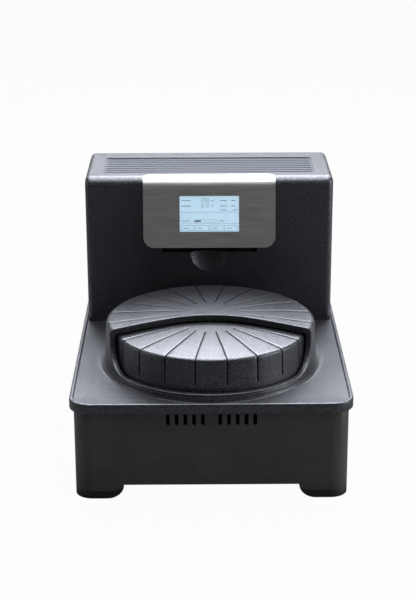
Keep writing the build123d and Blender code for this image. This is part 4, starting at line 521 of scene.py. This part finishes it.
def groove_spread(radius):
    """Half the angle that a groove's columns take: 1.5 mm to each side, and less near the middle."""
    return np.minimum(1.5 / np.maximum(radius, 1.5), 0.12)


def cap_grid(profile, angles, sunk, wall=0.0, deep=1.5):
    """Points of a cap: its profile turned to each column's angle and pressed in along the grooves, or moved
    in by the wall's thickness for its inside."""
    radius, height = profile
    slope_r, slope_z = np.gradient(radius), np.gradient(height)
    normal_r, normal_z = -slope_z / np.hypot(slope_r, slope_z), slope_r / np.hypot(slope_r, slope_z)
    press = wall + deep * groove_depth(profile, sunk)
    r = radius[:, None] - press * normal_r[:, None]
    z = height[:, None] - press * normal_z[:, None]
    return np.stack([np.cos(angles) * r, axis_y + np.sin(angles) * r, z], -1)


def groove_depth(profile, sunk, start=45.5, end=165.0):
    """How deep each point of a cap lies in a groove, from 0 to 1: the grooves fade out at both ends."""
    radius, height = profile
    along = np.clip((radius - start) / 2.0, 0, 1) * np.clip((height - end) / 1.5, 0, 1)
    return along[:, None] * np.asarray(sunk)[None, :]


def shell(name, outer, inner, body, stands_for=(), sunk=None):
    """A closed shell from the grids of its outside and its inside, joined all round by strips."""
    rims = [np.stack([outer[:, k], inner[:, k]]) for k in (0, -1)]
    rims += [np.stack([outer[k], inner[k]]) for k in (0, -1)]
    return skin(name, textured_paint, outer, inner, *rims, body=body, stands_for=stands_for, sunk=sunk)


def lathe(name, material, corners, centre, body, steps=96):
    """A closed ring or disc from (radius, height) corners turned about an upright axis."""
    turn = np.linspace(0, 2 * np.pi, steps + 1)
    rows = [(centre[0] + r * np.cos(turn), centre[1] + r * np.sin(turn), np.full_like(turn, z))
            for r, z in [*corners, corners[0]]]
    return skin(name, material, around(*rows), body=body)


groove_pitch = np.radians(18.0)
dome_rows = [9, 20, 32, 42, 45.4, 45.9, 46.7, 47.6, 50, *range(56, 152, 6)]
wall_rows = [*range(200, 168, -5), 167, 166.6, 166, 165.4, 165, 164, 158, 150, 143, 139, 138.4]
shutter = cap_profile(shutter_apex, 142.5, 145.4, 138.0, 5.0, dome_rows, wall_rows)
left, right = (np.full_like(shutter[0], np.radians(a)) for a in (-171.0, -9.0))
angles, sunk = groove_columns((left, shutter[0]), (right, shutter[0]),
                              np.radians(-153.0) + groove_pitch * np.arange(8))
shell("shutter_cap", cap_grid(shutter, angles, sunk), cap_grid(shutter, angles, 0 * sunk, 3.0), "lid",
      ["lid_shutter"], groove_depth(shutter, sunk))
lathe("shutter_hub", textured_paint, [(4.2, 203.0), (8.6, 203.0), (9.0, 203.4), (9.0, 211.3), (8.5, 211.75),
                                      (4.2, 211.75)], (0, axis_y), "lid")

# The hood's skin stops short of the mouth, where the flange's rounded edge takes over.
mouth_slope, mouth_arc, mouth_drop, flange_round = np.radians(18.8), 185.0, 48.0, 1.5
arc_middle = -mouth_arc / np.cos(mouth_slope)
sweep_top = 157.5 + mouth_drop
setback = mouth_arc + flange_round
tangent = np.sqrt(arc_middle ** 2 - setback ** 2)
drop = np.linspace(0, np.pi / 2, 17)
hood = cap_profile(hood_apex, 153.0, 156.0, 155.5, 8.0,
                   [0, 3, 10, 20, 32, 42, 45.4, 45.9, 46.7, 47.6, 50, tangent, 59.5, 61, 63,
                    *range(68, 152, 6)],
                   [*(sweep_top - (mouth_drop + flange_round) * np.sin(drop)), 155.6])
radius, height = hood
forward = mouth_drop - np.sqrt(np.maximum((mouth_drop + flange_round) ** 2 - (sweep_top - height) ** 2, 0))
forward = np.where(height < sweep_top, forward, -flange_round)
arc_sine = (radius ** 2 + tangent ** 2) / (2 * abs(arc_middle) * np.maximum(radius, 1))
on_arc = -np.arcsin(np.minimum(arc_sine, 1))
on_line = -mouth_slope - np.arcsin(forward / np.maximum(radius, 50))
start = np.where(radius < tangent + 0.01, -np.arcsin(tangent / abs(arc_middle)),
                 np.where(radius < 62.98, on_arc, on_line))
angles, sunk = groove_columns((start, radius), (np.pi - start, radius),
                              np.radians(-9.0) + groove_pitch * np.arange(12))
fan = np.linspace(-np.pi - start[0], start[0], 41)[None, :]
to_mouth = -arc_middle * -np.sin(fan) - np.sqrt(np.maximum((arc_middle * np.sin(fan)) ** 2 - tangent ** 2, 0))
front_rows = radius <= tangent + 0.01
lens_radius = radius[front_rows][:, None] * to_mouth / tangent
lens_angle = np.broadcast_to(fan, lens_radius.shape)


def lens(depth):
    """Points of the hood's front part, between its middle and the mouth, at a depth below the surface."""
    z = hood_apex - dome_radius + np.sqrt(dome_radius ** 2 - lens_radius ** 2) - depth
    return np.stack([np.cos(lens_angle) * lens_radius, axis_y + np.sin(lens_angle) * lens_radius, z], -1)


outer, inner = cap_grid(hood, angles, sunk), cap_grid(hood, angles, 0 * sunk, 3.0)
behind = radius > tangent - 0.01
edges = [np.stack([outer[behind, k], inner[behind, k]]) for k in (0, -1)]
edges += [np.stack([outer[-1], inner[-1]]), np.stack([lens(0)[-1], lens(3.0)[-1]])]
skin("hood_cap", textured_paint, outer, inner, lens(0), lens(3.0), *edges, body="housing",
     stands_for=["hood"], sunk=groove_depth(hood, sunk))

# The flange is one closed ribbon: over the mouth's arc, out along its straight sides, down the wall, forward
# round the swept corners and along the collar's front.
def wall_radius(z):
    """The hood wall's outer radius at a height."""
    return np.interp(z, hood[1][::-1], hood[0][::-1])


def flange_path():
    """The flange's outer edge, its inner edge and the direction away from the mouth, as three point arrays.

    Each side goes from the arc's end to the collar's front middle, and the two halves mirror each other."""
    low_r = 143.6
    low_z = hood_apex - dome_radius + np.sqrt(dome_radius ** 2 - low_r ** 2) - 10.5
    turn = np.linspace(0, mouth_slope, 12)[:-1]
    x, y = mouth_arc * np.sin(turn), arc_middle + mouth_arc * np.cos(turn)
    z = hood_apex - dome_radius + np.sqrt(dome_radius ** 2 - x ** 2 - y ** 2)
    arc = (np.stack([x, y, z], 1), np.stack([x, y, z - flange_deep], 1),
           np.stack([np.sin(turn), np.cos(turn), 0 * turn], 1))
    keep = (radius > 62.9) & (height > sweep_top + 0.1)
    r, z = radius[keep], height[keep]
    dome_r = np.minimum(r, low_r)
    in_r = np.where(r < 145.5, dome_r, low_r)
    in_z = hood_apex - dome_radius + np.sqrt(dome_radius ** 2 - in_r ** 2) - 9.5
    bend = np.cumsum(r >= 145.5) - 1
    bend = np.clip(bend / 8 * np.pi / 2, 0, np.pi / 2)
    in_r = np.where(r >= 145.5, low_r + np.sin(bend), in_r)
    in_z = np.where(r >= 145.5, low_z + np.cos(bend), in_z)
    c, s = np.cos(-mouth_slope), np.sin(-mouth_slope)
    away = np.broadcast_to([-s, c, 0], (len(r), 3))
    line = (np.stack([r * c, r * s, z], 1), np.stack([in_r * c, in_r * s, in_z], 1), away)
    t = np.linspace(0, np.pi / 2, 21)
    z = sweep_top - mouth_drop * np.sin(t)
    r = wall_radius(z)
    angle = -mouth_slope - np.arcsin(mouth_drop * (1 - np.cos(t)) / r)
    c, s = np.cos(angle), np.sin(angle)
    away = np.stack([-s * np.cos(t), c * np.cos(t), -np.sin(t)], 1)
    within = r - flange_low_deep
    corner = (np.stack([r * c, r * s, z], 1), np.stack([within * c, within * s, z], 1), away)
    angle = np.linspace(angle[-1], -np.pi / 2, 41)[1:]
    c, s = np.cos(angle), np.sin(angle)
    z = np.full_like(c, z[-1])
    away = np.stack([0 * c, 0 * c, -np.ones_like(c)], 1)
    front = (np.stack([r[-1] * c, r[-1] * s, z], 1), np.stack([within[-1] * c, within[-1] * s, z], 1), away)
    half = [np.concatenate(part) for part in zip(arc, line, corner, front)]
    mirror = np.array([-1, 1, 1])
    return [np.concatenate([h, (h * mirror)[-2::-1]]) for h in half]


edge, lining, away = flange_path()
turn = np.linspace(0, np.pi / 2, 6)
round_over = [(flange_round * (1 - np.sin(t)), flange_round * (1 - np.cos(t))) for t in turn]
section = round_over + [(0, 8.5), (0.3, 9.2), (1.0, 9.5), (5.2, 9.5), (5.8, 9.2), (6.0, 8.6), (6.0, 1.4),
                        (5.5, 0.9), (2.6, 0.06), (1.5, 0)]
ribbon = np.stack([edge + (lining - edge) * n / flange_deep + away * b for b, n in section])
ribbon[..., 1] += axis_y
ribbon[..., 2] = np.maximum(ribbon[..., 2], collar_seat)
skin("hood_flange", textured_paint, ribbon, body="housing")
lathe("hood_foot_ring", textured_paint,
      [(147.6, collar_seat), (147.6, 157.0), (147.9, 157.3), (153.4, 157.3), (153.4, collar_seat)],
      (0, axis_y), "housing", 144)
lathe("hood_pivot_boss", textured_paint, [(4.1, 214.2), (8.6, 214.2), (9.0, 214.6), (9.0, 221.5),
                                          (4.1, 221.5)], (0, axis_y), "housing", 48)
for number, angle in enumerate(np.radians([9, 63, 117, 171])):
    place = (151.75 * np.cos(angle), axis_y + 151.75 * np.sin(angle))
    lathe(f"hood_screw_boss_{number + 1}", textured_paint,
          [(2.2, collar_seat), (3.5, collar_seat), (3.5, 160.0), (3.2, 160.3), (2.2, 160.3)],
          place, "housing", 24)


# ---- Tower, fan and electronics
# A painted shell, open below and behind, with a plastic grille sunk in its top over the fan.
wear(textured_paint, "tower_casing")
ease(0.6, "tower_casing")

grille_plastic, tree, shader = finish("slate_grey_abs", {"Roughness": 0.4, "IOR": 1.5})
vary(tree, shader, mottle(tree, 3.0), "#2e3238", "#363a41")
relief(tree, shader, mottle(tree, 1.0), 0.02)
wear(grille_plastic, "air_grille")
ease(0.5, "air_grille")

# Black ABS with a fine spark-eroded grain.
black_abs, tree, shader = finish("grained_black_abs", {"Roughness": 0.5, "IOR": 1.5})
vary(tree, shader, mottle(tree, 2.0), "#101011", "#171718")
relief(tree, shader, mottle(tree, 0.9), 0.04)
wear(black_abs, "panel_tray", "panel_back_box", "fan_housing", "fan_impeller", "motor_drive", "mains_inlet",
     "switch_frame", "switch_rocker", "fuse_drawer")
wear(olive_enamel, "rear_panel")


# ---- Control panel
# A bent sheet of brushed, clear-coated metal over a black box, with a lit display behind touch glass.
brushed_sheet, tree, shader = finish("brushed_clear_coated_sheet", {"Metallic": 0.9, "Roughness": 0.4})
strokes = mottle(tree, 0.9, 2.0, (0.02, 1, 1))
vary(tree, shader, strokes, "#a3a099", "#b3b0a9")
polish(tree, shader, strokes, 0.34, 0.48)
relief(tree, shader, strokes, 0.01)
wear(brushed_sheet, "control_fascia")
ease(0.5, "control_fascia")

circuit_board, tree, shader = finish("lacquered_circuit_board", {"Roughness": 0.3})
vary(tree, shader, mottle(tree, 4.0), "#0d3a22", "#124a2c")
wear(circuit_board, "control_board")

lit_display, tree, shader = finish("backlit_liquid_crystal", {"Roughness": 0.3, "Emission Strength": 0.5,
                                                              "Emission Color": srgb("#c6dbe9")})
vary(tree, shader, mottle(tree, 12.0), "#a3bfd0", "#adc8d8")
wear(lit_display, "display_module")

touch_glass, tree, shader = finish("touch_glass", {"Roughness": 0.03, "IOR": 1.5, "Transmission Weight": 1.0,
                                                   "Base Color": srgb("#f6fbfd")})
relief(tree, shader, mottle(tree, 30.0), 0.01, 0.2)
wear(touch_glass, "touch_glass")

# The display shows two large readings, two rules, a progress bar and four soft keys, drawn as dark crystal
# segments just behind the glass.
panel_foot, panel_lean = (52.0, 275.0), np.radians(11.0)
screen_low = 25.0


def on_panel(x, up, depth):
    """Points on the leaning panel: a distance across, one up its slope and a depth behind its face."""
    across, up, depth = np.broadcast_arrays(x, up, depth)
    y = panel_foot[0] + up * np.sin(panel_lean) + depth * np.cos(panel_lean)
    return across, y, panel_foot[1] + up * np.cos(panel_lean) - depth * np.sin(panel_lean)


def bar(left, right, low, high, near=1.52, far=1.58):
    """The grid of one thin bar on the display, closed by a point in the middle of each face."""
    xs = np.array([left, right, right, left, left])
    ups = screen_low + np.array([low, low, high, high, low])
    middle = np.full(5, (left + right) / 2), np.full(5, screen_low + (low + high) / 2)
    return around(on_panel(*middle, near), on_panel(xs, ups, near), on_panel(xs, ups, far),
                  on_panel(*middle, far))


def frame_bars(left, right, low, high, thick=0.35):
    """The four bars of a rectangular frame."""
    return [bar(left, right, low, low + thick), bar(left, right, high - thick, high),
            bar(left, left + thick, low + thick, high - thick),
            bar(right - thick, right, low + thick, high - thick)]


def digit(value, left, low, high=5.6, wide=2.9, thick=0.5):
    """The lit bars of a seven-segment digit."""
    half, gap = high / 2, 0.1
    lit = {0: "abcdef", 1: "bc", 2: "abged", 5: "afgcd"}[value]
    boxes = {"a": (thick, wide - thick, high - thick, high),
             "b": (wide - thick, wide, half + gap, high - gap),
             "c": (wide - thick, wide, gap, half - gap),
             "d": (thick, wide - thick, 0, thick),
             "e": (0, thick, gap, half - gap),
             "f": (0, thick, half + gap, high - gap),
             "g": (thick, wide - thick, half - thick / 2, half + thick / 2)}
    return [bar(left + a, left + b, low + c, low + d) for a, b, c, d in (boxes[part] for part in lit)]


rules = [bar(-44, 44, 30.2, 30.6), bar(-44, 44, 12.4, 12.7)]
progress = [*frame_bars(-24, 12, 14.6, 18.6), bar(-23, -13, 15.4, 17.8)]
captions = [bar(18, 26, 33.4, 34.2), bar(36, 43, 33.4, 34.2), bar(-43, -30, 16.2, 17.0),
            bar(15, 22, 16.2, 17.0)]
first_key, key_pitch, key_width = -44.5, 22.6, 20.6
soft_keys = []
for number in range(4):
    left = first_key + key_pitch * number
    soft_keys += frame_bars(left, left + key_width, 1.6, 9.6) + [bar(left + 4, left + 12, 5.0, 5.7)]
first_digit, digit_pitch, reading_low, reading_pitch = -12, 4.1, 46.0, 8.2
readings = []
for row, values in enumerate([(2, 5, 0), (0, 1, 0)]):
    low = reading_low - reading_pitch * row
    for place, value in enumerate(values):
        readings += digit(value, first_digit + digit_pitch * place, low)
    for left, right in ((-43, -29), (2.5, 6.5), (17, 27), (34, 40)):
        readings.append(bar(left, right, low + 1.6, low + 2.6))
marks = rules + progress + captions + soft_keys + readings
crystal_ink, tree, shader = finish("dark_liquid_crystal", {"Roughness": 0.4, "Emission Strength": 0.12,
                                                           "Emission Color": srgb("#86a2b4")})
vary(tree, shader, mottle(tree, 6.0), "#2f4656", "#3a5262")
skin("display_segments", crystal_ink, *marks, body="control_panel", slot="display")


# ---- Size of what is shown
low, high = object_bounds()
